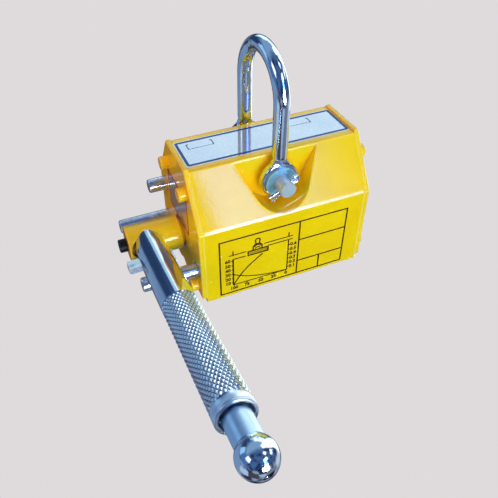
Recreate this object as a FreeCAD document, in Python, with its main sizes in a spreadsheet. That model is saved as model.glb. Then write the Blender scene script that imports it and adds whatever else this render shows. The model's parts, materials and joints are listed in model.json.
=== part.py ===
"""Permanent magnetic lifter, as a parametric FreeCAD document.

Frame: X runs along the body with the handle at the -X end, -Y is the front and +Z is up.
The origin is the middle of the pole faces. All lengths are in millimetres, angles in degrees.
"""
import FreeCAD, Part
import os
import Sketcher

Vector = FreeCAD.Vector
Rotation = FreeCAD.Rotation
Placement = FreeCAD.Placement

X_AXIS = Vector(1, 0, 0)
Y_AXIS = Vector(0, 1, 0)
Z_AXIS = Vector(0, 0, 1)

doc = FreeCAD.newDocument("magnetic_lifter")
sheet = doc.addObject("Spreadsheet::Sheet", "Sizes")

# Driving dimensions: alias, value, meaning
DRIVING_SIZES = [
    ("body_length", 92.0, "body over both end plates"),
    ("top_width", 29.7, "top face between the shoulders"),
    ("slope_height", 25.7, "sloping shoulders, from lower to upper edge"),
    ("pole_floor", 8.2, "pole faces to the rotor bore"),
    ("pin_cover", 12.5, "cross pin's axis to the top face"),
    ("side_cover", 7.5, "stop pins' axes to the upright sides"),
    ("body_edge_radius", 0.9, "rounding of the long edges of the body"),
    ("groove_width", 22.0, "groove for round bars, across the pole faces"),
    ("groove_depth", 5.0, "groove for round bars, into the pole faces"),
    ("pole_gap", 6.0, "between the two pole faces"),
    ("slot_width", 16.0, "slot between the yokes above the rotor"),
    ("spacer_drop", 0.2, "bottom spacer below the rotor bore"),
    ("fixed_magnet_height", 9.8, "magnets above the rotor"),
    ("plate_thickness", 2.5, "end plates"),
    ("plate_rise", 1.0, "end plates above the top face"),
    ("plate_lift", 3.4, "end plates above the pole faces"),
    ("plate_edge", 0.4, "chamfer round the outer face of an end plate"),
    ("plate_hole_gap", 0.35, "around a pin or screw that goes through an end plate"),
    ("pocket_strip", 0.55, "pocket walls outside the edges of the top face"),
    ("pocket_top_width", 44.8, "pocket along the body at the top face"),
    ("pocket_flare", 26.4, "lean of a pocket's flanks from upright"),
    ("pocket_floor_gap", 3.2, "pocket's floor below the shackle's eye"),
    ("rotor_diameter", 34.0, "turning rotor"),
    ("rotor_gap", 0.3, "between rotor and yokes"),
    ("rotor_magnet_thickness", 10.0, "magnets between the rotor's poles"),
    ("rotor_magnet_inset", 3.0, "magnets within the rotor's outside"),
    ("flange_thickness", 3.6, "flange at each end of the rotor"),
    ("flange_step", 0.5, "flanges within the rotor's outside"),
    ("journal_diameter", 14.0, "rotor's journals"),
    ("journal_clearance", 0.04, "radial, journal in bush"),
    ("journal_recess", 0.5, "far journal behind the face of its plate"),
    ("bush_wall", 2.0, "bush in an end plate"),
    ("bush_flange", 1.0, "thickness of a bush's flange"),
    ("bush_flange_width", 3.0, "flange beyond the bush's body"),
    ("fit_gap", 0.02, "radial, a part pressed into its seat"),
    ("end_float", 0.2, "rotor between its bushes"),
    ("flange_screw_diameter", 3.0, "screws of the rotor's flanges"),
    ("flange_screw_head", 5.2, "head diameter of those screws"),
    ("flange_screw_head_height", 2.6, "head height of those screws"),
    ("flange_screw_length", 10.0, "those screws under the head"),
    ("flange_screw_spread", 21.0, "those screws across the magnets"),
    ("flange_screw_pitch", 12.0, "those screws along the magnets"),
    ("magnet_web", 1.2, "between fixed magnets and rotor bore, and below the cross pin"),
    ("magnet_split", 0.1, "between magnet blocks in a row"),
    ("screw_diameter", 4.0, "end plate screws and hub screw"),
    ("screw_head_diameter", 7.0, "end plate screws and hub screw"),
    ("screw_head_height", 4.0, "end plate screws and hub screw"),
    ("screw_length", 12.0, "end plate screws under the head"),
    ("screw_edge", 0.4, "chamfer of a screw head"),
    ("socket_width", 3.0, "hexagon socket across its flats"),
    ("socket_depth", 2.0, "hexagon socket"),
    ("thread_gap", 0.05, "radial, screw in its tapped hole"),
    ("tap_runout", 1.0, "tapped hole past the end of its screw"),
    ("upper_screw_spread", 29.0, "upper end plate screws, centre to centre"),
    ("upper_screw_drop", 11.9, "top face to the upper end plate screws"),
    ("lower_screw_inset", 7.5, "upright sides to the lower end plate screws"),
    ("lower_screw_rise", 5.0, "lower edge of the end plates to the lower screws"),
    ("stop_pin_diameter", 7.5, "stop pins and lock pin"),
    ("stop_pin_offset", 6.7, "rotor bore to the stop pins' axes, across the body"),
    ("stop_pin_drop", 7.3, "stop pins below the rotor's axis"),
    ("stop_pin_overrun", 9.5, "stop pins past the handle's centre line"),
    ("lock_pin_offset", 5.8, "rotor bore to the lock pin's axis, across the body"),
    ("lock_pin_rise", 15.8, "lock pin above the rotor's axis"),
    ("lock_pin_gap", 1.2, "lock pin off the handle tube as it passes"),
    ("pin_seat", 11.0, "pins into the yokes"),
    ("pin_edge", 0.6, "chamfer at the end of a pin"),
    ("stop_gap", 0.05, "handle above the stop pin that it rests on"),
    ("hub_diameter", 18.2, "hub"),
    ("hub_wall", 2.2, "hub outside the handle tube"),
    ("hub_gap", 1.7, "hub off the end plate"),
    ("hub_edge", 0.5, "chamfer at the end of the hub"),
    ("hub_screw_gap", 0.2, "head of the hub screw off the hub"),
    ("handle_offset", 19.0, "handle off the end plate, centre line"),
    ("tube_diameter", 16.0, "handle tube"),
    ("tube_reach", 127.4, "rotor's axis to the end of the handle tube"),
    ("tube_wall", 2.45, "handle tube, around the push rod"),
    ("tube_mouth_step", 0.95, "wider mouth at the tube's outer end, radial"),
    ("tube_mouth_depth", 8.0, "wider mouth at the tube's outer end"),
    ("tube_edge", 0.7, "rounding at the tube's outer end"),
    ("tube_seat", 2.0, "rotor's axis to the shoulder that the tube seats on"),
    ("tube_floor", 4.0, "solid end of the tube above its spigot"),
    ("spigot_diameter", 10.0, "spigot of the tube in the hub"),
    ("spigot_depth", 6.0, "spigot past the rotor's axis"),
    ("spot_face", 1.4, "spot face in the hub, past the tube's side"),
    ("spot_face_diameter", 11.0, "cutter of the spot face"),
    ("spot_face_reach", 5.0, "rotor's axis to the spot face"),
    ("rod_clearance", 0.05, "radial, push rod in the tube"),
    ("ball_diameter", 14.5, "ball end of the push rod"),
    ("ball_neck", 0.8, "hollow between the ball and the push rod"),
    ("press_gap", 4.15, "ball off the tube when it is pressed in"),
    ("rod_tail", 2.2, "push rod past the key"),
    ("button_travel", 5.0, "push rod, pressed in"),
    ("key_reach", 22.15, "rotor's axis to the key's centre line"),
    ("key_width", 7.5, "key along the handle"),
    ("key_thickness", 3.0, "key across the handle"),
    ("key_overhang", 6.2, "key out of the tube, away from the end plate"),
    ("key_catch_gap", 0.4, "key off the end of the lock pin as it passes"),
    ("key_edge", 0.8, "chamfer at the outer end of the key"),
    ("slot_play", 0.3, "around the key in the tube's slot"),
    ("spring_wire", 0.9, "return spring"),
    ("spring_play", 0.3, "spring in the tube's bore, radial"),
    ("spring_pitch", 2.2, "return spring, from turn to turn"),
    ("cross_pin_diameter", 8.0, "cross pin"),
    ("pin_clearance", 0.06, "radial, cross pin in the body and in the shackle's eyes"),
    ("pin_tail", 2.0, "cross pin past the split pin's hole"),
    ("eye_diameter", 19.2, "shackle's eyes"),
    ("eye_thickness", 4.6, "shackle's eyes"),
    ("eye_edge", 0.6, "chamfer of an eye"),
    ("eye_fillet", 3.5, "hollow between an eye and its arm"),
    ("arm_gap", 0.3, "front arm off the pocket wall"),
    ("arm_taper", 4.0, "arm from its foot to its full thickness"),
    ("arm_foot_gap", 0.5, "foot of an arm outside the washer"),
    ("shackle_rod", 7.6, "shackle's bow"),
    ("shackle_rise", 58.2, "cross pin to the crown's centre line"),
    ("shackle_shift", 1.4, "shackle on its pin, towards the rear"),
    ("washer_diameter", 15.8, "washers"),
    ("washer_thickness", 1.5, "washers"),
    ("washer_gap", 0.15, "washer off the eye"),
    ("split_pin_gap", 0.6, "split pins outside the rear washer and arm"),
    ("split_pin_wire", 1.5, "split pin, each leg"),
    ("split_pin_play", 0.1, "between the legs, and around them in the cross pin"),
    ("split_pin_tail", 5.0, "straight part of a leg's tail"),
    ("split_pin_spread", 9.0, "lean of each leg's tail"),
    ("split_pin_bend", 3.0, "bend of a leg towards its tail, radius"),
    ("split_pin_neck", 1.2, "bend from a leg to the loop, radius"),
    ("split_pin_loop", 4.6, "loop of the split pin, outside"),
    ("split_pin_tilt", 35.0, "split pin from level"),
    ("cutter_overrun", 4.0, "a cut past the face that it opens"),
]

for row, (alias, value, meaning) in enumerate(DRIVING_SIZES, 1):
    sheet.set(f"A{row}", meaning)
    sheet.set(f"B{row}", str(value))
    sheet.setAlias(f"B{row}", alias)
doc.recompute()


def size(text):
    """Expression text with every alias of the sheet written as Sizes.alias."""
    words = "".join(c if c.isalnum() or c in "_." else " " for c in text).split()
    aliases = {name for name, _, _ in DRIVING_SIZES}
    for word in sorted(set(words) & aliases, key=len, reverse=True):
        pieces = text.split(word)
        joined = pieces[0]
        for piece in pieces[1:]:
            before = joined[-1:]
            after = piece[:1]
            whole = not (before.isalnum() or before in ("_", ".")) and not (after.isalnum() or after == "_")
            joined += ("Sizes." if whole else "") + word + piece
        text = joined
    return text


def number(text):
    """Value of an expression, as a plain number."""
    value = sheet.evalExpression(size(text))
    return float(getattr(value, "Value", value))


# Derived sizes, as expressions of the driving ones
HALF_BODY = "body_length / 2"
HALF_YOKE = "(body_length / 2 - plate_thickness)"
BORE_RADIUS = "(rotor_diameter / 2 + rotor_gap)"
ROTOR_HEIGHT = f"({BORE_RADIUS} + pole_floor)"
MAGNET_FLOOR = f"({ROTOR_HEIGHT} + {BORE_RADIUS} + magnet_web)"
MAGNET_TOP = f"({MAGNET_FLOOR} + fixed_magnet_height)"
PIN_HEIGHT = f"({MAGNET_TOP} + magnet_web + cross_pin_diameter / 2)"
BODY_HEIGHT = f"({PIN_HEIGHT} + pin_cover)"
SHOULDER_HEIGHT = f"({BODY_HEIGHT} - slope_height)"

PIN_RADIUS = "stop_pin_diameter / 2"
STOP_PIN_Y = f"({BORE_RADIUS} + stop_pin_offset)"
HALF_WIDTH = f"({STOP_PIN_Y} + side_cover)"
HALF_TOP = "top_width / 2"
SLOPE_RUN = f"(({HALF_WIDTH} - {HALF_TOP}) / slope_height)"

POCKET_WALL = f"({HALF_TOP} + pocket_strip)"
POCKET_FLOOR = f"({PIN_HEIGHT} - eye_diameter / 2 - pocket_floor_gap)"
POCKET_RADIUS = (
    "((pocket_top_width / 2 * cos(pocket_flare)"
    f" - ({BODY_HEIGHT} - {POCKET_FLOOR}) * sin(pocket_flare)) / (1 - sin(pocket_flare)))"
)

BUSH_RADIUS = "(journal_diameter / 2 + journal_clearance + bush_wall)"
FLANGE_FACE = f"({HALF_YOKE} - bush_flange - end_float)"
FLANGE_RADIUS = "(rotor_diameter / 2 - flange_step)"
CORE_HALF = f"({FLANGE_FACE} - flange_thickness)"

HANDLE_X = f"(-{HALF_BODY} - handle_offset)"
TUBE_RADIUS = "tube_diameter / 2"
BORE_OF_TUBE = f"({TUBE_RADIUS} - tube_wall)"
TUBE_BOTTOM = "(tube_seat + tube_floor)"
ROD_RADIUS = f"({BORE_OF_TUBE} - rod_clearance)"
BALL_REACH = "(tube_reach + button_travel + press_gap + ball_diameter / 2)"
KEY_INNER = "(key_reach - key_width / 2)"
ROD_END = f"({KEY_INNER} - rod_tail)"
HUB_END = f"({HANDLE_X} - {TUBE_RADIUS} - hub_wall)"
STOP_RADIUS = f"sqrt({STOP_PIN_Y} ^ 2 + stop_pin_drop ^ 2)"
HANDLE_LIFT = (
    f"(asin(({TUBE_RADIUS} + {PIN_RADIUS} + stop_gap) / {STOP_RADIUS})"
    f" - atan(stop_pin_drop / {STOP_PIN_Y}))"
)

FRONT_ARM = f"({POCKET_WALL} + arm_gap + shackle_rod / 2)"
ARM_Y = f"({FRONT_ARM} + shackle_shift)"
REAR_ARM = f"({ARM_Y} + shackle_shift)"
WASHER_OFFSET = "(eye_thickness / 2 + washer_gap)"
SPLIT_HOLE_RADIUS = "(split_pin_wire + split_pin_play)"
SPLIT_PIN_Y = (
    f"({REAR_ARM} + max(shackle_rod / 2; {WASHER_OFFSET} + washer_thickness)"
    " + split_pin_gap + split_pin_wire / 2)"
)
PIN_END = f"({SPLIT_PIN_Y} + {SPLIT_HOLE_RADIUS} + pin_tail)"
PAST = "cutter_overrun"


def bind(thing, **properties):
    """Bind properties to expressions."""
    for name, text in properties.items():
        thing.setExpression(name, size(text))
    return thing


def place(thing, x="0", y="0", z="0", axis=None, angle=0.0):
    """Set a placement: a fixed turn, and a position bound to expressions."""
    if axis is not None:
        thing.Placement = Placement(Vector(), Rotation(axis, angle))
    for letter, text in zip("xyz", (x, y, z)):
        if text != "0":
            thing.setExpression(f"Placement.Base.{letter}", size(text))
    return thing


def with_handle(thing, x="0"):
    """Place a piece made around the rotor's axis, handle along -Y, at the handle's rest."""
    thing.Placement = Placement(Vector(), Rotation(X_AXIS, -10.0))
    thing.setExpression("Placement.Rotation.Angle", size(f"-{HANDLE_LIFT}"))
    return place(thing, x=x, z=ROTOR_HEIGHT)


def sketch_outline(body, name, plane, points, arcs=None, closed=True):
    """Closed outline, or open path, on an origin plane, each corner bound by two expressions.

    arcs maps a segment's number to the centre of its arc, which runs counter-clockwise,
    or to (u, v, "cw"). The far end of an arc is bound by its first coordinate only, or
    with "by v" by its second.
    """
    arcs = arcs or {}
    sketch = body.newObject("Sketcher::SketchObject", name)
    support = [o for o in body.Origin.OriginFeatures if o.Role == plane][0]
    sketch.AttachmentSupport = [(support, "")]
    sketch.MapMode = "FlatFace"
    corners = [Vector(number(u), number(v), 0) for u, v in points]
    count = len(points)
    segments = count if closed else count - 1
    for i in range(segments):
        start, end = corners[i], corners[(i + 1) % count]
        if i in arcs:
            centre = Vector(number(arcs[i][0]), number(arcs[i][1]), 0)
            clockwise = "cw" in arcs[i]
            first, last = (end, start) if clockwise else (start, end)
            circle = Part.Circle(centre, Z_AXIS, (start - centre).Length)
            angles = [circle.parameter(first), circle.parameter(last)]
            sketch.addGeometry(Part.ArcOfCircle(circle, *angles))
        else:
            sketch.addGeometry(Part.LineSegment(start, end))
    ends = {}
    for i in range(segments):
        turned_round = i in arcs and "cw" in arcs[i]
        ends[i] = (2, 1) if turned_round else (1, 2)
    for i in range(segments if closed else segments - 1):
        following = (i + 1) % count
        sketch.addConstraint(Sketcher.Constraint("Coincident", i, ends[i][1], following, ends[following][0]))

    def fix(kind, segment, point, value, text):
        index = sketch.addConstraint(Sketcher.Constraint(kind, segment, point, value))
        sketch.setExpression(f"Constraints[{index}]", size(text))

    for i, (u, v) in enumerate(points):
        segment, point = (i, ends[i][0]) if i < segments else (i - 1, ends[i - 1][1])
        arrived_by = arcs.get((i - 1) % count)
        if arrived_by is None or "by v" not in arrived_by:
            fix("DistanceX", segment, point, corners[i].x, u)
        if arrived_by is None or "by v" in arrived_by:
            fix("DistanceY", segment, point, corners[i].y, v)
    for i, arc in arcs.items():
        fix("DistanceX", i, 3, number(arc[0]), arc[0])
        fix("DistanceY", i, 3, number(arc[1]), arc[1])
    return sketch


def sketch_circle(body, name, plane, u, v, radius):
    """Circle on an origin plane, its centre and radius bound to expressions."""
    sketch = body.newObject("Sketcher::SketchObject", name)
    support = [o for o in body.Origin.OriginFeatures if o.Role == plane][0]
    sketch.AttachmentSupport = [(support, "")]
    sketch.MapMode = "FlatFace"
    sketch.addGeometry(Part.Circle(Vector(number(u), number(v), 0), Z_AXIS, number(radius)))
    for kind, text in (("DistanceX", u), ("DistanceY", v)):
        index = sketch.addConstraint(Sketcher.Constraint(kind, 0, 3, number(text)))
        sketch.setExpression(f"Constraints[{index}]", size(text))
    index = sketch.addConstraint(Sketcher.Constraint("Radius", 0, number(radius)))
    sketch.setExpression(f"Constraints[{index}]", size(radius))
    return sketch


def padded(name, plane, points, length, arcs=None, middle=False):
    """Body made by padding an outline along its plane's normal."""
    body = doc.addObject("PartDesign::Body", name)
    sketch = sketch_outline(body, name + "_outline", plane, points, arcs)
    pad = body.newObject("PartDesign::Pad", name + "_pad")
    pad.Profile = sketch
    if middle:
        pad.SideType = "Symmetric"
    bind(pad, Length=length)
    doc.recompute()
    return body


def turned(name, axis, points, arcs=None):
    """Body turned about its own X axis, points as (x, radius), or Y axis, points as (radius, y)."""
    body = doc.addObject("PartDesign::Body", name)
    sketch = sketch_outline(body, name + "_outline", "XY_Plane", points, arcs)
    turn = body.newObject("PartDesign::Revolution", name + "_turn")
    turn.Profile = sketch
    turn.ReferenceAxis = (sketch, ["H_Axis" if axis == "x" else "V_Axis"])
    turn.Angle = 360.0
    doc.recompute()
    return body


def cylinder(name, along, radius, length, x="0", y="0", z="0"):
    """Cylinder along +X, +Y or +Z, from the middle of its first end."""
    thing = doc.addObject("Part::Cylinder", name)
    bind(thing, Radius=radius, Height=length)
    axis, angle = {"x": (Y_AXIS, 90.0), "y": (X_AXIS, -90.0), "z": (Z_AXIS, 0.0)}[along]
    return place(thing, x, y, z, axis, angle)


def box(name, length, width, height, x, y, z):
    """Box from its lowest corner."""
    thing = doc.addObject("Part::Box", name)
    bind(thing, Length=length, Width=width, Height=height)
    return place(thing, x, y, z)


def fused(name, things):
    thing = doc.addObject("Part::MultiFuse", name)
    thing.Shapes = things
    return thing


def cut(name, base, tools):
    """Base less all the tools."""
    thing = doc.addObject("Part::Cut", name)
    thing.Base = base
    thing.Tool = tools[0] if len(tools) == 1 else fused(name + "_tools", tools)
    return thing


def group(name, things):
    """Several separate solids in one node."""
    thing = doc.addObject("Part::Compound", name)
    thing.Links = things
    return thing


nodes = []


def node(name, thing):
    """Register a finished sub-part under its node name."""
    thing.Label = name
    nodes.append(thing)
    return thing


def long_edges(body, spots):
    """Names of the edges along X that pass through the given (y, z) spots."""
    names = []
    for index, edge in enumerate(body.Tip.Shape.Edges, 1):
        box_ = edge.BoundBox
        if box_.XLength < 1.0 or box_.YLength > 1e-6 or box_.ZLength > 1e-6:
            continue
        if any(abs(box_.YMin - y) < 1e-4 and abs(box_.ZMin - z) < 1e-4 for y, z in spots):
            names.append(f"Edge{index}")
    return names


def round_edges(body, edges, radius):
    tip = body.Tip
    fillet = body.newObject("PartDesign::Fillet", body.Name + "_rounds")
    fillet.Base = (tip, edges)
    bind(fillet, Radius=radius)
    doc.recompute()
    return body


# Places of the end plate screws and of the pins, as (y, z)
UPPER_SCREW = ("upper_screw_spread / 2", f"{BODY_HEIGHT} - upper_screw_drop")
LOWER_SCREW = (f"({HALF_WIDTH} - lower_screw_inset)", "plate_lift + lower_screw_rise")
SCREW_SPOTS = [(f"{sign}{y}", z) for y, z in (UPPER_SCREW, LOWER_SCREW) for sign in ("-", "")]
STOP_PIN_Z = f"{ROTOR_HEIGHT} - stop_pin_drop"
FRONT_STOP = (f"-{STOP_PIN_Y}", STOP_PIN_Z)
REAR_STOP = (STOP_PIN_Y, STOP_PIN_Z)
LOCK = (f"{BORE_RADIUS} + lock_pin_offset", f"{ROTOR_HEIGHT} + lock_pin_rise")


def groove_tool(name, clearance):
    """Prism that cuts the groove for round bars, widened by a clearance."""
    half = f"(groove_width / 2 * (1 + ({PAST} + {clearance}) / groove_depth))"
    points = [(f"-{half}", f"-{PAST}"), (half, f"-{PAST}"), ("0", f"groove_depth + {clearance}")]
    return padded(name, "YZ_Plane", points, f"body_length + 2 * {PAST}", middle=True)


def pocket_tool(name, side):
    """Prism with flared flanks and a round floor that cuts the pocket on one side of the body."""
    tangent_x = f"{POCKET_RADIUS} * cos(pocket_flare)"
    centre_z = f"{POCKET_FLOOR} + {POCKET_RADIUS}"
    tangent_z = f"{centre_z} - {POCKET_RADIUS} * sin(pocket_flare)"
    top_x = f"pocket_top_width / 2 + {PAST} * tan(pocket_flare)"
    top_z = f"{BODY_HEIGHT} + {PAST}"
    points = [
        (f"-{tangent_x}", tangent_z),
        (tangent_x, tangent_z),
        (top_x, top_z),
        (f"-({top_x})", top_z),
    ]
    tool = padded(name, "XZ_Plane", points, f"{HALF_WIDTH}", arcs={0: ("0", centre_z)})
    # The pad runs along -Y from the plane; the rear tool stands behind its wall
    if side < 0:
        return place(tool, y=f"-{POCKET_WALL}")
    return place(tool, y=f"{POCKET_WALL} + {HALF_WIDTH}")


def make_yoke(name, side):
    """One pole half of the body: side -1 is the front, +1 the rear."""
    sign = "-" if side < 0 else ""
    points = [
        (f"{sign}pole_gap / 2", "0"),
        (f"{sign}{HALF_WIDTH}", "0"),
        (f"{sign}{HALF_WIDTH}", SHOULDER_HEIGHT),
        (f"{sign}{HALF_TOP}", BODY_HEIGHT),
        (f"{sign}slot_width / 2", BODY_HEIGHT),
        (f"{sign}slot_width / 2", ROTOR_HEIGHT),
        (f"{sign}pole_gap / 2", ROTOR_HEIGHT),
    ]
    body = padded(name + "_block", "YZ_Plane", points, f"2 * {HALF_YOKE}", middle=True)
    half_width = side * number(HALF_WIDTH)
    spots = [
        (half_width, 0.0),
        (half_width, number(SHOULDER_HEIGHT)),
        (side * number(HALF_TOP), number(BODY_HEIGHT)),
    ]
    round_edges(body, long_edges(body, spots), "body_edge_radius")
    tools = [
        cylinder(name + "_bore", "x", BORE_RADIUS, "body_length", f"-{HALF_BODY}", "0", ROTOR_HEIGHT),
        cylinder(name + "_pin_bore", "y", "cross_pin_diameter / 2 + pin_clearance",
                 f"2 * {HALF_WIDTH}", "0", f"-{HALF_WIDTH}", PIN_HEIGHT),
        pocket_tool(name + "_pocket", side),
        groove_tool(name + "_groove", "0"),
    ]
    depth = f"(screw_length - plate_thickness + tap_runout + {PAST})"
    for index, (y, z) in enumerate(SCREW_SPOTS):
        if y.startswith("-") != (side < 0):
            continue
        for end, start in (("near", f"-{HALF_YOKE} - {PAST}"), ("far", f"{HALF_YOKE} + {PAST} - {depth}")):
            tools.append(cylinder(f"{name}_tap_{end}_{index}", "x", "screw_diameter / 2 + thread_gap",
                                  depth, start, y, z))
    for index, (y, z) in enumerate([FRONT_STOP] if side < 0 else [REAR_STOP, LOCK]):
        tools.append(cylinder(f"{name}_pin_seat_{index}", "x", f"{PIN_RADIUS} + fit_gap",
                              f"pin_seat + {PAST}", f"-{HALF_YOKE} - {PAST}", y, z))
    return node(name, cut(name, body, tools))


def make_spacers():
    """The two non-magnetic bars that keep the yokes apart, and the magnets under the top one."""
    bar = box("top_spacer_bar", f"2 * {HALF_YOKE}", "slot_width", f"{BODY_HEIGHT} - {MAGNET_TOP}",
              f"-{HALF_YOKE}", "-slot_width / 2", MAGNET_TOP)
    bore = cylinder("top_spacer_bore", "y", "cross_pin_diameter / 2 + pin_clearance", f"2 * {HALF_WIDTH}",
                    "0", f"-{HALF_WIDTH}", PIN_HEIGHT)
    node("top_spacer", cut("top_spacer", bar, [bore]))

    height = f"{ROTOR_HEIGHT} - {BORE_RADIUS} - spacer_drop"
    strip = box("bottom_spacer_strip", f"2 * {HALF_YOKE}", "pole_gap", height,
                f"-{HALF_YOKE}", "-pole_gap / 2", "0")
    node("bottom_spacer", cut("bottom_spacer", strip, [groove_tool("bottom_spacer_groove", "0")]))

    length = f"((2 * {HALF_YOKE} - 2 * magnet_split) / 3)"
    blocks = [
        box(f"fixed_magnet_{index}", length, "slot_width", f"{MAGNET_TOP} - {MAGNET_FLOOR}",
            f"-{HALF_YOKE} + {index} * ({length} + magnet_split)", "-slot_width / 2", MAGNET_FLOOR)
        for index in range(3)
    ]
    node("fixed_magnets", group("fixed_magnets", blocks))


def make_plate(name, side):
    """End plate: side -1 is the handle end, with holes for the pins, +1 the far end."""
    plate_top = f"{BODY_HEIGHT} + plate_rise"
    top_half = f"({HALF_TOP} - plate_rise * {SLOPE_RUN})"
    points = [
        (f"-{HALF_WIDTH}", "plate_lift"),
        (HALF_WIDTH, "plate_lift"),
        (HALF_WIDTH, SHOULDER_HEIGHT),
        (top_half, plate_top),
        (f"-{top_half}", plate_top),
        (f"-{HALF_WIDTH}", SHOULDER_HEIGHT),
    ]
    body = padded(name + "_sheet", "YZ_Plane", points, "plate_thickness")
    outer_x = 0.0 if side < 0 else number("plate_thickness")
    edges = [
        f"Edge{index}"
        for index, edge in enumerate(body.Tip.Shape.Edges, 1)
        if edge.BoundBox.XLength < 1e-6 and abs(edge.BoundBox.XMin - outer_x) < 1e-6
    ]
    tip = body.Tip
    chamfer = body.newObject("PartDesign::Chamfer", name + "_edge")
    chamfer.Base = (tip, edges)
    bind(chamfer, Size="plate_edge")
    place(body, x=f"-{HALF_BODY}" if side < 0 else HALF_YOKE)
    start = f"-{HALF_BODY} - {PAST}" if side < 0 else f"{HALF_YOKE} - {PAST}"
    through = f"plate_thickness + 2 * {PAST}"
    holes = [(y, z, "screw_diameter / 2 + plate_hole_gap") for y, z in SCREW_SPOTS]
    holes.append(("0", ROTOR_HEIGHT, f"{BUSH_RADIUS} + fit_gap"))
    if side < 0:
        holes += [(y, z, f"{PIN_RADIUS} + plate_hole_gap") for y, z in (FRONT_STOP, REAR_STOP, LOCK)]
    tools = [
        cylinder(f"{name}_hole_{index}", "x", radius, through, start, y, z)
        for index, (y, z, radius) in enumerate(holes)
    ]
    tools.append(groove_tool(name + "_groove", "plate_rise"))
    return node(name, cut(name, body, tools))


def cap_screw(name, diameter, head, head_height, length, socket=True):
    """Socket head screw along its own X axis, head towards -X, seated at x = 0."""
    points = [
        (f"-{head_height}", "0"),
        (f"-{head_height}", f"{head} / 2 - screw_edge"),
        (f"-{head_height} + screw_edge", f"{head} / 2"),
        ("0", f"{head} / 2"),
        ("0", f"{diameter} / 2"),
        (length, f"{diameter} / 2"),
        (length, "0"),
    ]
    body = turned(name + "_blank", "x", points)
    if not socket:
        return body
    hexagon = doc.addObject("Part::Prism", name + "_hexagon")
    hexagon.Polygon = 6
    bind(hexagon, Circumradius="socket_width / sqrt(3)", Height=f"socket_depth + {PAST}")
    place(hexagon, x=f"-{head_height} - {PAST}", axis=Y_AXIS, angle=90.0)
    return cut(name, body, [hexagon])


def make_plate_screws(name, side):
    screws = []
    for index, (y, z) in enumerate(SCREW_SPOTS):
        screw = cap_screw(f"{name}_{index}", "screw_diameter", "screw_head_diameter",
                          "screw_head_height", "screw_length")
        x = f"-{HALF_BODY}" if side < 0 else HALF_BODY
        screws.append(place(screw, x, y, z, Z_AXIS, 0.0 if side < 0 else 180.0))
    return node(name, group(name, screws))


def make_pin(name, spot, reach):
    """Plain pin out of the handle end plate, seated in a yoke."""
    points = [
        (f"-{HALF_BODY} - {reach}", "0"),
        (f"-{HALF_BODY} - {reach}", f"{PIN_RADIUS} - pin_edge"),
        (f"-{HALF_BODY} - {reach} + pin_edge", PIN_RADIUS),
        (f"-{HALF_YOKE} + pin_seat", PIN_RADIUS),
        (f"-{HALF_YOKE} + pin_seat", "0"),
    ]
    return node(name, place(turned(name, "x", points), y=spot[0], z=spot[1]))


def make_bush(name, side):
    """Flanged bush, pressed into an end plate from inside."""
    inner = "journal_diameter / 2 + journal_clearance"
    points = [
        (f"-{HALF_BODY}", inner),
        (f"-{HALF_BODY}", BUSH_RADIUS),
        (f"-{HALF_YOKE}", BUSH_RADIUS),
        (f"-{HALF_YOKE}", f"{BUSH_RADIUS} + bush_flange_width"),
        (f"-{HALF_YOKE} + bush_flange", f"{BUSH_RADIUS} + bush_flange_width"),
        (f"-{HALF_YOKE} + bush_flange", inner),
    ]
    bush = turned(name, "x", points)
    return node(name, place(bush, z=ROTOR_HEIGHT, axis=Z_AXIS, angle=0.0 if side < 0 else 180.0))


# Places of the flange screws about the rotor's axis, as (y, z)
FLANGE_SCREW_SPOTS = [
    (f"{a}flange_screw_spread / 2", f"{b}flange_screw_pitch / 2") for a in ("-", "") for b in ("-", "")
]


def flange_tools(name, side):
    """Counterbored holes for the flange screws."""
    tools = []
    head_depth = f"flange_screw_head_height + fit_gap + {PAST}"
    for index, (y, z) in enumerate(FLANGE_SCREW_SPOTS):
        start = f"-{FLANGE_FACE} - {PAST}"
        head_start = start if side < 0 else f"{FLANGE_FACE} + {PAST} - ({head_depth})"
        long_start = start if side < 0 else f"{FLANGE_FACE} - flange_screw_length - {PAST}"
        long_length = f"flange_screw_length + 2 * {PAST}"
        tools.append(cylinder(f"{name}_head_{index}", "x", "flange_screw_head / 2 + thread_gap",
                              head_depth, head_start, y, z))
        tools.append(cylinder(f"{name}_shank_{index}", "x", "flange_screw_diameter / 2 + thread_gap",
                              long_length, long_start, y, z))
    return tools


def make_flange_screws(name, side):
    screws = []
    x = f"(-{FLANGE_FACE} + flange_screw_head_height + fit_gap)"
    for index, (y, z) in enumerate(FLANGE_SCREW_SPOTS):
        screw = cap_screw(f"{name}_{index}", "flange_screw_diameter", "flange_screw_head",
                          "flange_screw_head_height", "flange_screw_length", socket=False)
        place(screw, x if side < 0 else f"-{x}", y, z, Z_AXIS, 0.0 if side < 0 else 180.0)
        screws.append(screw)
    return node(name, with_handle(group(name, screws)))


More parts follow.
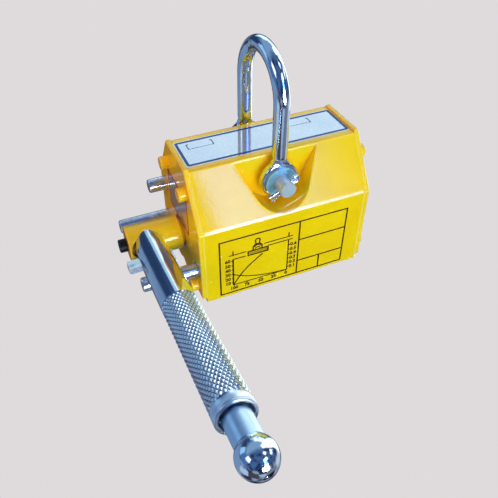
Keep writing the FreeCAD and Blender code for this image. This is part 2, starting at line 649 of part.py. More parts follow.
def make_rotor():
    """Two steel poles with magnets between them, made around the rotor's axis."""
    half_slab = "rotor_magnet_thickness / 2"
    chord = f"sqrt((rotor_diameter / 2) ^ 2 - ({half_slab}) ^ 2)"
    depth = f"(flange_screw_length + {PAST})"
    starts = (("near", f"-{CORE_HALF} - {PAST}"), ("far", f"{CORE_HALF} + {PAST} - {depth}"))
    for name, sign in (("rotor_front_pole", "-"), ("rotor_rear_pole", "")):
        first = f"-{chord}" if sign == "-" else chord
        last = chord if sign == "-" else f"-{chord}"
        points = [(f"{sign}{half_slab}", first), (f"{sign}{half_slab}", last)]
        round_side = {1: ("0", "0")}
        pole = padded(name + "_bar", "YZ_Plane", points, f"2 * {CORE_HALF}", round_side, middle=True)
        tools = []
        for index, (y, z) in enumerate(FLANGE_SCREW_SPOTS):
            if y.startswith("-") != (sign == "-"):
                continue
            for end, start in starts:
                tools.append(cylinder(f"{name}_tap_{end}_{index}", "x",
                                      "flange_screw_diameter / 2 + thread_gap", depth, start, y, z))
        node(name, with_handle(cut(name, pole, tools)))
    length = f"((2 * {CORE_HALF} - 2 * magnet_split) / 3)"
    half_height = "(rotor_diameter / 2 - rotor_magnet_inset)"
    blocks = [
        box(f"rotor_magnet_{index}", length, "rotor_magnet_thickness", f"2 * {half_height}",
            f"-{CORE_HALF} + {index} * ({length} + magnet_split)", f"-{half_slab}", f"-{half_height}")
        for index in range(3)
    ]
    node("rotor_magnets", with_handle(group("rotor_magnets", blocks)))


def make_hub():
    """Flange, journal and hub in one turned piece, drilled for the handle and its screw."""
    hub_radius = "hub_diameter / 2"
    hub_foot = f"(-{HALF_BODY} - hub_gap)"
    points = [
        (HUB_END, "0"),
        (HUB_END, f"{hub_radius} - hub_edge"),
        (f"{HUB_END} + hub_edge", hub_radius),
        (hub_foot, hub_radius),
        (hub_foot, "journal_diameter / 2"),
        (f"-{FLANGE_FACE}", "journal_diameter / 2"),
        (f"-{FLANGE_FACE}", FLANGE_RADIUS),
        (f"-{CORE_HALF}", FLANGE_RADIUS),
        (f"-{CORE_HALF}", "0"),
    ]
    body = turned("drive_hub_blank", "x", points)
    seat_radius = f"{TUBE_RADIUS} + fit_gap"
    tools = [
        cylinder("hub_tube_seat", "y", seat_radius, "hub_diameter",
                 HANDLE_X, "-tube_seat - hub_diameter", "0"),
        cylinder("hub_spot_face", "y", "spot_face_diameter / 2", "hub_diameter",
                 f"{HANDLE_X} - {seat_radius} - spot_face + spot_face_diameter / 2",
                 "-spot_face_reach - hub_diameter", "0"),
        cylinder("hub_spigot_hole", "y", "spigot_diameter / 2 + fit_gap",
                 f"spigot_depth + fit_gap + {PAST}", HANDLE_X, f"-{PAST}", "0"),
        cylinder("hub_screw_hole", "x", "screw_diameter / 2 + thread_gap",
                 f"{HANDLE_X} - {HUB_END} + {PAST}", f"{HUB_END} - {PAST}", "0", "0"),
    ]
    node("drive_hub", with_handle(cut("drive_hub", body, tools + flange_tools("hub_flange", -1))))

    seat = f"({HUB_END} - hub_screw_gap)"
    reach = f"({HANDLE_X} - spigot_diameter / 2 - fit_gap - {seat})"
    screw = cap_screw("hub_screw", "screw_diameter", "screw_head_diameter", "screw_head_height", reach)
    node("hub_screw", with_handle(screw, x=seat))


def make_far_journal():
    """Flanged stub that carries the far end of the rotor."""
    end = f"({HALF_BODY} - journal_recess)"
    points = [
        (CORE_HALF, "0"),
        (CORE_HALF, FLANGE_RADIUS),
        (FLANGE_FACE, FLANGE_RADIUS),
        (FLANGE_FACE, "journal_diameter / 2"),
        (end, "journal_diameter / 2"),
        (end, "0"),
    ]
    body = turned("far_journal_blank", "x", points)
    node("far_journal", with_handle(cut("far_journal", body, flange_tools("far_flange", 1))))


def make_handle_tube():
    """Bored bar with a spigot for the hub, a wide mouth and a slot for the key."""
    mouth = f"{BORE_OF_TUBE} + tube_mouth_step"
    edge = (f"{TUBE_RADIUS} - tube_edge", "-tube_reach + tube_edge", "cw")
    points = [
        ("0", "spigot_depth"),
        ("spigot_diameter / 2", "spigot_depth"),
        ("spigot_diameter / 2", "-tube_seat"),
        (TUBE_RADIUS, "-tube_seat"),
        (TUBE_RADIUS, "-tube_reach + tube_edge"),
        (f"{TUBE_RADIUS} - tube_edge", "-tube_reach"),
        (mouth, "-tube_reach"),
        (mouth, "-tube_reach + tube_mouth_depth"),
        (BORE_OF_TUBE, "-tube_reach + tube_mouth_depth"),
        (BORE_OF_TUBE, f"-{TUBE_BOTTOM}"),
        ("0", f"-{TUBE_BOTTOM}"),
    ]
    body = turned("handle_tube_bar", "y", points, arcs={4: edge})
    length = "(key_width + button_travel + 2 * slot_play)"
    thickness = "(key_thickness + 2 * slot_play)"
    outer = "(key_reach + key_width / 2 + slot_play)"
    slot = box("handle_tube_slot", "tube_diameter * 2", length, thickness,
               "-tube_diameter", f"-{outer}", f"-{thickness} / 2")
    node("handle_tube", with_handle(cut("handle_tube", body, [slot]), x=HANDLE_X))


def make_push_rod():
    """Rod and ball turned as one, with a slot for the key."""
    ball = "ball_diameter / 2"
    neck_x = f"({ROD_RADIUS} + ball_neck)"
    neck_y = f"sqrt(({ball} + ball_neck) ^ 2 - {neck_x} ^ 2)"
    share = f"({ball} / ({ball} + ball_neck))"
    points = [
        ("0", f"-{ROD_END}"),
        (ROD_RADIUS, f"-{ROD_END}"),
        (ROD_RADIUS, f"-{BALL_REACH} + {neck_y}"),
        (f"{neck_x} * {share}", f"-{BALL_REACH} + {neck_y} * {share}"),
        ("0", f"-{BALL_REACH} - {ball}"),
    ]
    arcs = {
        2: (neck_x, f"-{BALL_REACH} + {neck_y}"),
        3: ("0", f"-{BALL_REACH}", "cw"),
    }
    body = turned("push_rod_bar", "y", points, arcs=arcs)
    slot = box("push_rod_slot", "2 * tube_diameter", "key_width", "key_thickness",
               "-tube_diameter", "-key_reach - key_width / 2", "-key_thickness / 2")
    node("push_rod", with_handle(cut("push_rod", body, [slot]), x=HANDLE_X))


def make_key():
    """Flat bar through the tube and the push rod, chamfered at its outer end."""
    far = f"(-{TUBE_RADIUS} - key_overhang)"
    near = f"({TUBE_RADIUS} + lock_pin_gap - key_catch_gap)"
    inner = f"(-{KEY_INNER})"
    outer = f"(-{KEY_INNER} - key_width)"
    points = [
        (f"{far} + key_edge", outer),
        (near, outer),
        (near, inner),
        (f"{far} + key_edge", inner),
        (far, f"{inner} - key_edge"),
        (far, f"{outer} + key_edge"),
    ]
    key = padded("safety_key", "XY_Plane", points, "key_thickness", middle=True)
    node("safety_key", with_handle(key, x=HANDLE_X))


def make_spring():
    """Return spring between the bottom of the tube's bore and the push rod."""
    body = doc.addObject("PartDesign::Body", "return_spring")
    wire = "spring_wire / 2"
    mean = f"({BORE_OF_TUBE} - spring_play - {wire})"
    low = f"(-{ROD_END} + {wire})"
    sketch = sketch_circle(body, "spring_section", "XY_Plane", mean, low, wire)
    doc.recompute()
    coil = body.newObject("PartDesign::AdditiveHelix", "spring_coil")
    coil.Profile = sketch
    coil.ReferenceAxis = (sketch, ["V_Axis"])
    coil.Mode = "pitch-height-angle"
    bind(coil, Pitch="spring_pitch", Height=f"{ROD_END} - {TUBE_BOTTOM} - spring_wire")
    coil.Reversed = False
    doc.recompute()
    node("return_spring", with_handle(body, x=HANDLE_X))


def make_cross_pin():
    """Plain pin through the body, drilled near both ends for split pins."""
    radius = "cross_pin_diameter / 2"
    points = [
        ("0", f"-{PIN_END}"),
        (f"{radius} - pin_edge", f"-{PIN_END}"),
        (radius, f"-{PIN_END} + pin_edge"),
        (radius, f"{PIN_END} - pin_edge"),
        (f"{radius} - pin_edge", PIN_END),
        ("0", PIN_END),
    ]
    body = turned("cross_pin_bar", "y", points)
    tools = []
    for end, y in (("front", f"-{SPLIT_PIN_Y}"), ("rear", SPLIT_PIN_Y)):
        hole = doc.addObject("Part::Cylinder", f"cross_pin_hole_{end}")
        bind(hole, Radius=SPLIT_HOLE_RADIUS, Height="2 * cross_pin_diameter")
        # A cylinder stands on Z, so a level one is turned by 90 degrees
        hole.Placement = Placement(Vector(), Rotation(Y_AXIS, 45.0))
        hole.setExpression("Placement.Rotation.Angle", size("90 - split_pin_tilt"))
        place(hole, x="-cross_pin_diameter * cos(split_pin_tilt)", y=y,
              z="-cross_pin_diameter * sin(split_pin_tilt)")
        tools.append(hole)
    node("cross_pin", place(cut("cross_pin", body, tools), z=PIN_HEIGHT))


def make_washer(name, side):
    inner = "cross_pin_diameter / 2 + pin_clearance"
    near = f"{REAR_ARM} + {WASHER_OFFSET}"
    if side < 0:
        near = f"-{FRONT_ARM} - {WASHER_OFFSET} - washer_thickness"
    far = f"{near} + washer_thickness"
    points = [(inner, near), ("washer_diameter / 2", near), ("washer_diameter / 2", far), (inner, far)]
    return node(name, place(turned(name, "y", points), z=PIN_HEIGHT))


def make_split_pin(name, side):
    """Wire bent to a loop and two legs through the cross pin, with their tails bent apart."""
    leg_z = "(split_pin_wire / 2 + split_pin_play / 2)"
    loop = "(split_pin_loop / 2 - split_pin_wire / 2)"
    reach = f"(split_pin_neck + {loop})"
    neck_x = "(cross_pin_diameter / 2 + split_pin_play)"
    neck_z = f"({leg_z} + split_pin_neck)"
    loop_x = f"({neck_x} + sqrt({reach} ^ 2 - {neck_z} ^ 2))"
    bend_x = "(-cross_pin_diameter / 2)"
    tail_x = f"({bend_x} - split_pin_bend * sin(split_pin_spread))"
    tail_z = f"({leg_z} + split_pin_bend * (1 - cos(split_pin_spread)))"
    tip_x = f"{tail_x} - split_pin_tail * cos(split_pin_spread)"
    tip_z = f"{tail_z} + split_pin_tail * sin(split_pin_spread)"
    # Centre line of the upper half, from the far side of the loop to the end of the tail
    path = [
        (f"{loop_x} + {loop}", "0"),
        (f"{loop_x} - ({loop_x} - {neck_x}) * {loop} / {reach}", f"{neck_z} * {loop} / {reach}"),
        (neck_x, leg_z),
        (bend_x, leg_z),
        (tail_x, tail_z),
        (tip_x, tip_z),
    ]
    arcs = {
        0: (loop_x, "0"),
        1: (neck_x, neck_z, "cw"),
        3: (bend_x, f"{leg_z} + split_pin_bend", "cw"),
    }
    body = doc.addObject("PartDesign::Body", name)
    spine = sketch_outline(body, name + "_path", "XZ_Plane", path, arcs, closed=False)
    section = sketch_circle(body, name + "_section", "XY_Plane", path[0][0], "0", "split_pin_wire / 2")
    doc.recompute()
    wire = body.newObject("PartDesign::AdditivePipe", name + "_wire")
    wire.Profile = section
    wire.Spine = spine
    doc.recompute()
    both = body.newObject("PartDesign::Mirrored", name + "_legs")
    both.Originals = [wire]
    both.MirrorPlane = ([o for o in body.Origin.OriginFeatures if o.Role == "XY_Plane"][0], [""])
    body.Tip = both
    doc.recompute()
    body.Placement = Placement(Vector(), Rotation(Y_AXIS, -45.0))
    body.setExpression("Placement.Rotation.Angle", size("-split_pin_tilt"))
    return node(name, place(body, y=f"{'-' if side < 0 else ''}{SPLIT_PIN_Y}", z=PIN_HEIGHT))


def make_shackle():
    """Bent rod, tapered at its feet, with a chamfered eye and hollow fillets at each end."""
    rod = "shackle_rod / 2"
    crown = doc.addObject("Part::Torus", "shackle_crown")
    bind(crown, Radius1=ARM_Y, Radius2=rod)
    crown.Angle3 = 180.0
    # Stand the half ring upright in the YZ plane
    crown.Placement = Placement(Vector(), Rotation(Z_AXIS, 90.0).multiply(Rotation(X_AXIS, 90.0)))
    place(crown, y="shackle_shift", z=f"shackle_rise - {ARM_Y}")
    pieces = [crown]
    bore = "cross_pin_diameter / 2 + pin_clearance"
    outer = "eye_diameter / 2"
    half = "eye_thickness / 2"
    foot = "(washer_diameter / 2 + arm_foot_gap)"
    fillet_x = f"({rod} + eye_fillet)"
    fillet_z = f"sqrt(({outer} + eye_fillet) ^ 2 - {fillet_x} ^ 2)"
    share = f"({outer} / ({outer} + eye_fillet))"
    web_points = [
        (f"-{fillet_x} * {share}", f"{fillet_z} * {share}"),
        (f"{fillet_x} * {share}", f"{fillet_z} * {share}"),
        (rod, fillet_z),
        (f"-{rod}", fillet_z),
    ]
    web_arcs = {1: (fillet_x, fillet_z, "cw", "by v"), 3: (f"-{fillet_x}", fillet_z, "cw")}
    for end, middle in (("front", f"-{FRONT_ARM}"), ("rear", REAR_ARM)):
        taper = doc.addObject("Part::Cone", f"shackle_{end}_taper")
        bind(taper, Radius1=f"{half} - eye_edge", Radius2=rod, Height="arm_taper")
        pieces.append(place(taper, y=middle, z=foot))
        pieces.append(cylinder(f"shackle_{end}_arm", "z", rod,
                               f"shackle_rise - {ARM_Y} - {foot} - arm_taper",
                               "0", middle, f"{foot} + arm_taper"))
        web = padded(f"shackle_{end}_web", "XZ_Plane", web_points, "eye_thickness - 2 * eye_edge",
                     web_arcs, middle=True)
        pieces.append(place(web, y=middle))
        points = [
            (bore, f"-{half}"),
            (f"{outer} - eye_edge", f"-{half}"),
            (outer, f"-{half} + eye_edge"),
            (outer, f"{half} - eye_edge"),
            (f"{outer} - eye_edge", half),
            (bore, half),
        ]
        pieces.append(place(turned(f"shackle_{end}_eye", "y", points), y=middle))
    node("shackle", place(fused("shackle", pieces), z=PIN_HEIGHT))


make_yoke("front_yoke", -1)
make_yoke("rear_yoke", 1)
make_spacers()
make_plate("handle_end_plate", -1)
make_plate("far_end_plate", 1)
make_plate_screws("handle_end_screws", -1)
make_plate_screws("far_end_screws", 1)
make_pin("front_stop_pin", FRONT_STOP, "(handle_offset + stop_pin_overrun)")
make_pin("rear_stop_pin", REAR_STOP, "(handle_offset + stop_pin_overrun)")
make_pin("lock_pin", LOCK, f"(handle_offset - {TUBE_RADIUS} - lock_pin_gap)")
make_bush("handle_end_bush", -1)
make_bush("far_end_bush", 1)
make_rotor()
make_hub()
make_far_journal()
make_flange_screws("drive_flange_screws", -1)
make_flange_screws("far_flange_screws", 1)
make_handle_tube()
make_push_rod()
make_key()
make_spring()
make_cross_pin()
make_washer("front_washer", -1)
make_washer("rear_washer", 1)
make_split_pin("front_split_pin", -1)
make_split_pin("rear_split_pin", 1)
make_shackle()
doc.recompute()

for thing in doc.Objects:
    if "Invalid" in thing.State or "Error" in thing.State:
        raise RuntimeError(f"{thing.Label} failed: {thing.State}")
for thing in nodes:
    shape = thing.Shape
    if shape.isNull() or not shape.isValid() or not shape.Solids:
        raise RuntimeError(f"{thing.Label} has no valid solid")

os.makedirs("parts", exist_ok=True)
for thing in nodes:
    thing.Shape.exportStep(f"parts/{thing.Label}.step")
    print(thing.Label, len(thing.Shape.Solids), "solid(s)", round(thing.Shape.Volume, 1), "mm3")
print("handle lift", round(number(HANDLE_LIFT), 4))
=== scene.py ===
"""Looks of a permanent magnetic lifter: paint, plating, knurled handle and printed faces.

Laid out as an add-on and run as a script. Lengths are in metres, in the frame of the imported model:
X along the body with the handle at the -X end, -Y the front and +Z up.
"""
import json
import math

import bmesh
import bpy
from bpy.props import FloatProperty, FloatVectorProperty, IntProperty, PointerProperty
from mathutils import Matrix, Quaternion, Vector


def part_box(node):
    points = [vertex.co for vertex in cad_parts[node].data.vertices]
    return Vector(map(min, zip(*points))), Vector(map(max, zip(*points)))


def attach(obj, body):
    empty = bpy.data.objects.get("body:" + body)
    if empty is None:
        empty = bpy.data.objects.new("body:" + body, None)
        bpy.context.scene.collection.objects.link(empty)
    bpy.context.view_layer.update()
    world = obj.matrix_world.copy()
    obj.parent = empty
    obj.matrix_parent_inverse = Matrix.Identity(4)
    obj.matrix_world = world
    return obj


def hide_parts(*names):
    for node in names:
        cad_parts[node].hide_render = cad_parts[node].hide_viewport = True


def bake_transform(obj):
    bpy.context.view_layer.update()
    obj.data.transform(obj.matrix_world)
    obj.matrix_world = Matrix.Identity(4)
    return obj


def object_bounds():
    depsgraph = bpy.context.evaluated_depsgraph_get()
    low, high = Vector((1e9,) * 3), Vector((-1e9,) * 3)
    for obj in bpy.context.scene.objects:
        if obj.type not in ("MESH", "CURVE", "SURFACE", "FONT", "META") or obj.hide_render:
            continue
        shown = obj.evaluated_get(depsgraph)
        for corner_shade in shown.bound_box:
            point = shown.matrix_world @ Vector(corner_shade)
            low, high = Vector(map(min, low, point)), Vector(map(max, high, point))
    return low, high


bl_info = {
    "name": "Magnetic Lifter Looks",
    "version": (1, 0, 0),
    "blender": (4, 5, 0),
    "location": "3D View > Sidebar > Lifter",
    "description": "Paint, plating, knurled handle and printed faces of the packed magnetic lifter",
    "category": "Object",
}

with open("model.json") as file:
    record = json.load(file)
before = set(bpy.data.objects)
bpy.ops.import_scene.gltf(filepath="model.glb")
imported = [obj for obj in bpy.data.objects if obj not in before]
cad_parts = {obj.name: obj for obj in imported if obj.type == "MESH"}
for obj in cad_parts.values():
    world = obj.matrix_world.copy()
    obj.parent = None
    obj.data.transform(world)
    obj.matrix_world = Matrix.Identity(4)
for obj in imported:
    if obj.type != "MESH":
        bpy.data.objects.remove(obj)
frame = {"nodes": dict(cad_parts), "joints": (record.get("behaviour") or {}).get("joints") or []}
CAD_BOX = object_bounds()
NODES = frame["nodes"]
JOINTS = {joint["name"]: joint for joint in frame["joints"]}
MM = 0.001

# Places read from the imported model
FRONT_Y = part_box("front_yoke")[0].y
TOP_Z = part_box("top_spacer")[1].z
END_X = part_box("handle_end_plate")[0].x
TUBE_LOW, TUBE_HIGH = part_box("handle_tube")
TUBE_RADIUS = (TUBE_HIGH.x - TUBE_LOW.x) / 2

# The handle's own axes: along the body, square to the handle, and outward along the handle
HANDLE_BASE = Vector(JOINTS["handle_turn"]["pos_m"])
HANDLE_OUT = -Vector(JOINTS["button_push"]["axis"]).normalized()
HANDLE_SIDE = Vector((1, 0, 0))
HANDLE_UP = HANDLE_OUT.cross(HANDLE_SIDE)
HANDLE_AXES = Matrix((HANDLE_SIDE, HANDLE_UP, HANDLE_OUT)).transposed()
HANDLE_PLACE = Matrix.Translation(HANDLE_BASE) @ HANDLE_AXES.to_4x4()

# The slot across the handle tube, and its middle along the handle
SLOT_SIZE = (40.0 * MM, 3.6 * MM, 13.1 * MM)
SLOT_MIDDLE = 19.65 * MM

# Panels of the room that mirrors show, in degrees round from the front and up: left edge and its
# softness, right edge and its softness, lowest, highest and their softness, then colour
ROOM_PANELS = (
    (96, 3, 171, 3, 12, 40, 3, (1.15, 1.35, 1.55, 1)),
    (170, 3, 182, 2, 12, 28, 3, (0.50, 0.72, 0.86, 1)),
    (-143, 3, -118, 5, 2, 30, 3, (0.40, 0.66, 1.0, 1)),
    (-118, 5, -72, 3, 2, 30, 3, (0.07, 0.18, 0.42, 1)),
    (-173, 5, -146, 3, 0, 24, 4, (0.022, 0.05, 0.12, 1)),
    (50, 4, 72, 4, 49, 63, 4, (1.7, 1.8, 1.9, 1)),
    (-94, 4, -66, 4, 25, 43, 4, (1.7, 1.8, 1.9, 1)),
    (70, 3, 90, 3, 17, 30, 3, (1.6, 1.7, 1.8, 1)),
    (24, 3, 44, 4, 33, 44, 3, (3.0, 3.2, 3.5, 1)),
    (15.8, 0.3, 26, 9, 14, 44, 3, (1.1, 3.3, 10.2, 1)),
    (0, 2, 11, 2, -6, 9, 2, (17.0, 18.0, 19.0, 1)),
    (13, 2, 22, 9, -9, 17, 2, (33.0, 34.0, 35.0, 1)),
    (-158, 3, -98, 5, -60, -3, 5, (0.20, 0.31, 0.50, 1)),
    (-178, 2, -160, 4, -60, -20, 5, (0.10, 0.05, 0.012, 1)),
    (5, 3, 50, 3, -60, -34, 2, (0.012, 0.012, 0.016, 1)),
    (-95, 5, -58, 3, -42, -14, 5, (0.46, 0.62, 0.84, 1)),
    (-55, 3, -18, 3, -42, -14, 5, (0.07, 0.06, 0.075, 1)),
    (-13, 4, 11, 4, -33, -19, 3, (0.42, 0.54, 0.76, 1)),
    (13, 4, 56, 4, -33, -19, 3, (0.20, 0.22, 0.29, 1)),
    (60, 6, 100, 6, -42, -14, 5, (0.60, 0.66, 0.76, 1)),
    (100, 4, 130, 4, -40, 60, 5, (1.7, 1.9, 2.05, 1)),
)

# Soft lights, as place, size and colour, and the point that they face
LIGHTS = {
    "front": ((0.35, -1.35, -0.15), (1.1, 0.9), (0.98, 1.0, 0.97)),
    "side": ((-1.2, -0.25, 0.65), (0.8, 0.8), (1, 0.38, 0.08)),
    "top": ((-0.3, -0.8, 1.0), (1.6, 1.6), (1, 0.72, 0.40)),
    "back": ((0.95, 1.05, 0.55), (1.2, 1.0), (1, 0.90, 0.74)),
}
LIGHT_AIM = (0, 0, 0.04)


def length(name, about, value):
    """A length in metres."""
    return FloatProperty(name=name, description=about, default=value, min=0.0, subtype="DISTANCE",
                         unit="LENGTH")


def whole(name, about, value, least):
    """A whole number."""
    return IntProperty(name=name, description=about, default=value, min=least)


def tint(name, about, value):
    """A colour."""
    return FloatVectorProperty(name=name, description=about, default=(*value, 1.0), size=4,
                               min=0.0, max=1.0, subtype="COLOR")


def power(name, about, value):
    """A lamp's power in watts."""
    return FloatProperty(name=name, description=about, default=value, min=0.0, unit="POWER")


class LifterSizes(bpy.types.PropertyGroup):
    """Sizes of the turned, knurled and printed detail."""

    knurl_start: length("Knurl Start", "Rotor axis to the first row of diamonds", 62.6 * MM)
    knurl_pitch: length("Row Pitch", "From one row of diamonds to the next", 1.43 * MM)
    knurl_depth: length("Knurl Depth", "Depth of the grooves between diamonds", 0.55 * MM)
    knurl_rows: whole("Rows", "Rows of diamonds along the grip", 42, 2)
    knurl_columns: whole("Columns", "Diamonds round the grip", 27, 6)
    tube_reach: length("Tube Reach", "Rotor axis to the open end of the tube", 127.4 * MM)
    tube_mouth: length("Tube Mouth", "Radius of the tube's open end", 6.5 * MM)
    tube_bore: length("Tube Bore", "Radius of the bore behind the mouth", 5.55 * MM)
    print_depth: length("Print Depth", "Thickness of printed lines and of the labels", 0.05 * MM)
    frame_line: length("Frame Line", "Width of the printed frame's lines", 0.82 * MM)
    chart_line: length("Chart Line", "Width of the chart's thin lines", 0.60 * MM)
    number_height: length("Number Height", "Height of the chart's numbers", 2.1 * MM)
    label_line: length("Label Line", "Width of the border line on the top label", 1.35 * MM)
    sticker_line: length("Sticker Line", "Width of the sticker's outline", 1.1 * MM)
    shoulder: length("Shoulder", "Height of the edge between the front face and the slope", 45.8 * MM)
    shackle_grain: length("Shackle Grain", "Size of the facets of the forged shackle", 0.32 * MM)
    shackle_softness: whole("Shackle Softness", "Rounding of the shackle's hollows", 16, 0)


class LifterLooks(bpy.types.PropertyGroup):
    """Colours of the finishes."""

    paint: tint("Paint", "Yellow paint", (0.755, 0.655, 0.004))
    paint_shade: tint("Paint Shade", "Deeper tone in the paint", (0.72, 0.59, 0.003))
    # Partly worn thin paint, partly a painted highlight along the edges
    edge_wear_and_highlight: tint("Paint Edge", "Thin bright paint along edges", (0.98, 0.86, 0.34))
    # Painted shade and bounced light: the amber that sheltered corners of the paint take on
    painted_corner_shade: tint("Paint Corner", "Paint in sheltered corners", (0.98, 0.58, 0.002))
    chrome: tint("Chrome", "Bright plating", (0.74, 0.84, 0.93))
    knurl: tint("Knurl", "Worn tops of the knurl", (0.78, 0.91, 1.0))
    zinc: tint("Zinc", "Bright zinc plating", (0.80, 0.86, 0.92))
    zinc_dark: tint("Zinc Dark", "Dull patches in the bright zinc", (0.42, 0.50, 0.60))
    pin: tint("Pin", "Pale zinc of the cross pin", (0.40, 0.60, 0.78))
    pin_dark: tint("Pin Dark", "Dull patches on the cross pin", (0.36, 0.55, 0.73))
    washer: tint("Washer", "Satin zinc of the washers", (0.24, 0.60, 0.93))
    washer_dark: tint("Washer Dark", "Dull patches on the washers", (0.15, 0.37, 0.62))
    oxide: tint("Black Oxide", "Blackened screw", (0.006, 0.007, 0.012))
    steel: tint("Steel", "Turned steel inside", (0.45, 0.46, 0.48))
    magnet: tint("Magnet", "Magnet blocks", (0.30, 0.31, 0.33))
    brass: tint("Brass", "Bushes and bottom spacer", (0.66, 0.46, 0.18))
    ink: tint("Ink", "Dark print on the front", (0.020, 0.012, 0.006))
    label: tint("Label", "Top label", (0.50, 0.68, 0.82))
    label_ink: tint("Label Ink", "Blue lines of the top label", (0.014, 0.09, 0.42))
    sticker: tint("Sticker", "Silver sticker on the end plate", (0.50, 0.60, 0.68))
    # Painted shade: dark contact shadow in narrow seams and gaps
    seam: tint("Seam", "Dirt in narrow seams", (0.10, 0.045, 0.004))
    sticker_ink: tint("Sticker Ink", "Outline of the silver sticker", (0.40, 0.010, 0.016))


class LifterStage(bpy.types.PropertyGroup):
    """Floor, light and background."""

    floor_width: length("Floor", "Width of the floor", 6.0)
    backdrop: tint("Backdrop", "Floor and background", (0.737, 0.708, 0.716))
    fill: FloatProperty(name="Fill", description="Soft light from all round", default=0.24, min=0.0)
    front: power("Front", "Soft light from the front", 16.0)
    side: power("Side", "Warm light on the handle's end", 10.0)
    top: power("Top", "Warm light from above", 8.0)
    back: power("Back", "Soft light on the sides away from the camera", 13.0)


GROUPS = {"lifter_sizes": LifterSizes, "lifter_looks": LifterLooks, "lifter_stage": LifterStage}


class NodeKit:
    """Short calls for building one node tree."""

    def __init__(self, tree):
        self.tree = tree

    def give(self, node, inputs):
        """Set a node's inputs to values, or link them from sockets."""
        for key, value in inputs.items():
            if isinstance(value, bpy.types.NodeSocket):
                self.tree.links.new(value, node.inputs[key])
            else:
                node.inputs[key].default_value = value

    def add(self, kind, inputs=None, **settings):
        """A new node with those settings and inputs."""
        node = self.tree.nodes.new(kind)
        for name, value in settings.items():
            setattr(node, name, value)
        self.give(node, inputs or {})
        return node

    def math(self, operation, a, b=0.0):
        return self.add("ShaderNodeMath", {0: a, 1: b}, operation=operation).outputs[0]

    def times(self, a, b):
        return self.math("MULTIPLY", a, b)

    def vector(self, operation, a, b):
        node = self.add("ShaderNodeVectorMath", {0: a, 1: b}, operation=operation)
        return node.outputs["Value" if operation == "DOT_PRODUCT" else "Vector"]

    def mix(self, factor, a, b, blend="MIX"):
        inputs = {0: factor, 6: a, 7: b}
        return self.add("ShaderNodeMix", inputs, data_type="RGBA", blend_type=blend).outputs[2]

    def ramp(self, value, low, high, to_low=0.0, to_high=1.0):
        """A soft step from to_low to to_high as value goes from low to high."""
        inputs = {"Value": value, "From Min": low, "From Max": high, "To Min": to_low, "To Max": to_high}
        return self.add("ShaderNodeMapRange", inputs, interpolation_type="SMOOTHSTEP").outputs["Result"]

    def noise(self, place, scale, detail, roughness=0.55):
        inputs = {"Vector": place, "Scale": scale, "Detail": detail, "Roughness": roughness}
        return self.add("ShaderNodeTexNoise", inputs).outputs[0]


class Finish(NodeKit):
    """A material with a Principled shader, drawn on the object's own coordinates."""

    def __init__(self, name):
        self.material = bpy.data.materials.new(name)
        self.material.use_nodes = True
        super().__init__(self.material.node_tree)
        self.shader = self.tree.nodes["Principled BSDF"]
        self.place = self.add("ShaderNodeTexCoord").outputs["Object"]

    def put(self, values):
        """The material, once the shader has those values or links."""
        self.give(self.shader, values)
        return self.material

    def grain(self, scale, detail, roughness=0.55):
        """Noise with that many cells to the metre."""
        return self.noise(self.place, scale, detail, roughness)

    def streaks(self, stretch, turn=(0, 0, 0), detail=2.0):
        """Noise with its own scale along each axis, and turned."""
        inputs = {"Vector": self.place, "Scale": stretch, "Rotation": turn}
        return self.noise(self.add("ShaderNodeMapping", inputs).outputs[0], 1.0, detail)

    def bump(self, height, strength, distance, normal=None):
        inputs = {"Height": height, "Strength": strength, "Distance": distance}
        if normal is not None:
            inputs["Normal"] = normal
        return self.add("ShaderNodeBump", inputs).outputs[0]

    def along_handle(self):
        """Distance from the rotor's axis outward along the handle."""
        from_base = self.vector("SUBTRACT", self.place, tuple(HANDLE_BASE))
        return self.vector("DOT_PRODUCT", from_base, tuple(HANDLE_OUT))

    def edges(self, sharp=0.85, soft=0.985):
        """1 along edges and 0 on flats, by how far a rounded normal leaves the true one."""
        rounded_normal = self.add("ShaderNodeBevel", {"Radius": 0.4 * MM}, samples=6).outputs[0]
        true_normal = self.add("ShaderNodeNewGeometry").outputs["Normal"]
        return self.ramp(self.vector("DOT_PRODUCT", rounded_normal, true_normal), soft, sharp)

    def shelter(self, distance, low, high):
        """1 in corners and grooves, 0 in the open."""
        node = self.add("ShaderNodeAmbientOcclusion", {"Distance": distance}, samples=8)
        return self.ramp(node.outputs["AO"], high, low)

    def specks(self, scale, size, share):
        """Small round spots, in that share of the cells."""
        cells = self.add("ShaderNodeTexVoronoi", {"Vector": self.place, "Scale": scale})
        near = self.ramp(cells.outputs["Distance"], size, size * 0.5)
        chance = self.add("ShaderNodeSeparateColor", {0: cells.outputs["Color"]}).outputs[0]
        return self.times(near, self.ramp(chance, share, share * 0.95))


def shoulder_highlight_mask(f, sizes):
    """1 on the painted highlight just above the yokes' shoulder edges."""
    rise, fall = (-0.2 * MM, 0.1 * MM), (1.5 * MM, 0.6 * MM)
    outer_sides, body_ends = (29.4 * MM, 30.2 * MM), (43.2 * MM, 42.0 * MM)
    parts = f.add("ShaderNodeSeparateXYZ", {0: f.place}).outputs
    above = f.math("SUBTRACT", parts["Z"], sizes.shoulder)
    inside = f.times(f.ramp(above, *rise), f.ramp(above, *fall))
    inside = f.times(inside, f.ramp(f.math("ABSOLUTE", parts["Y"]), *outer_sides))
    return f.times(inside, f.ramp(f.math("ABSOLUTE", parts["X"]), *body_ends))


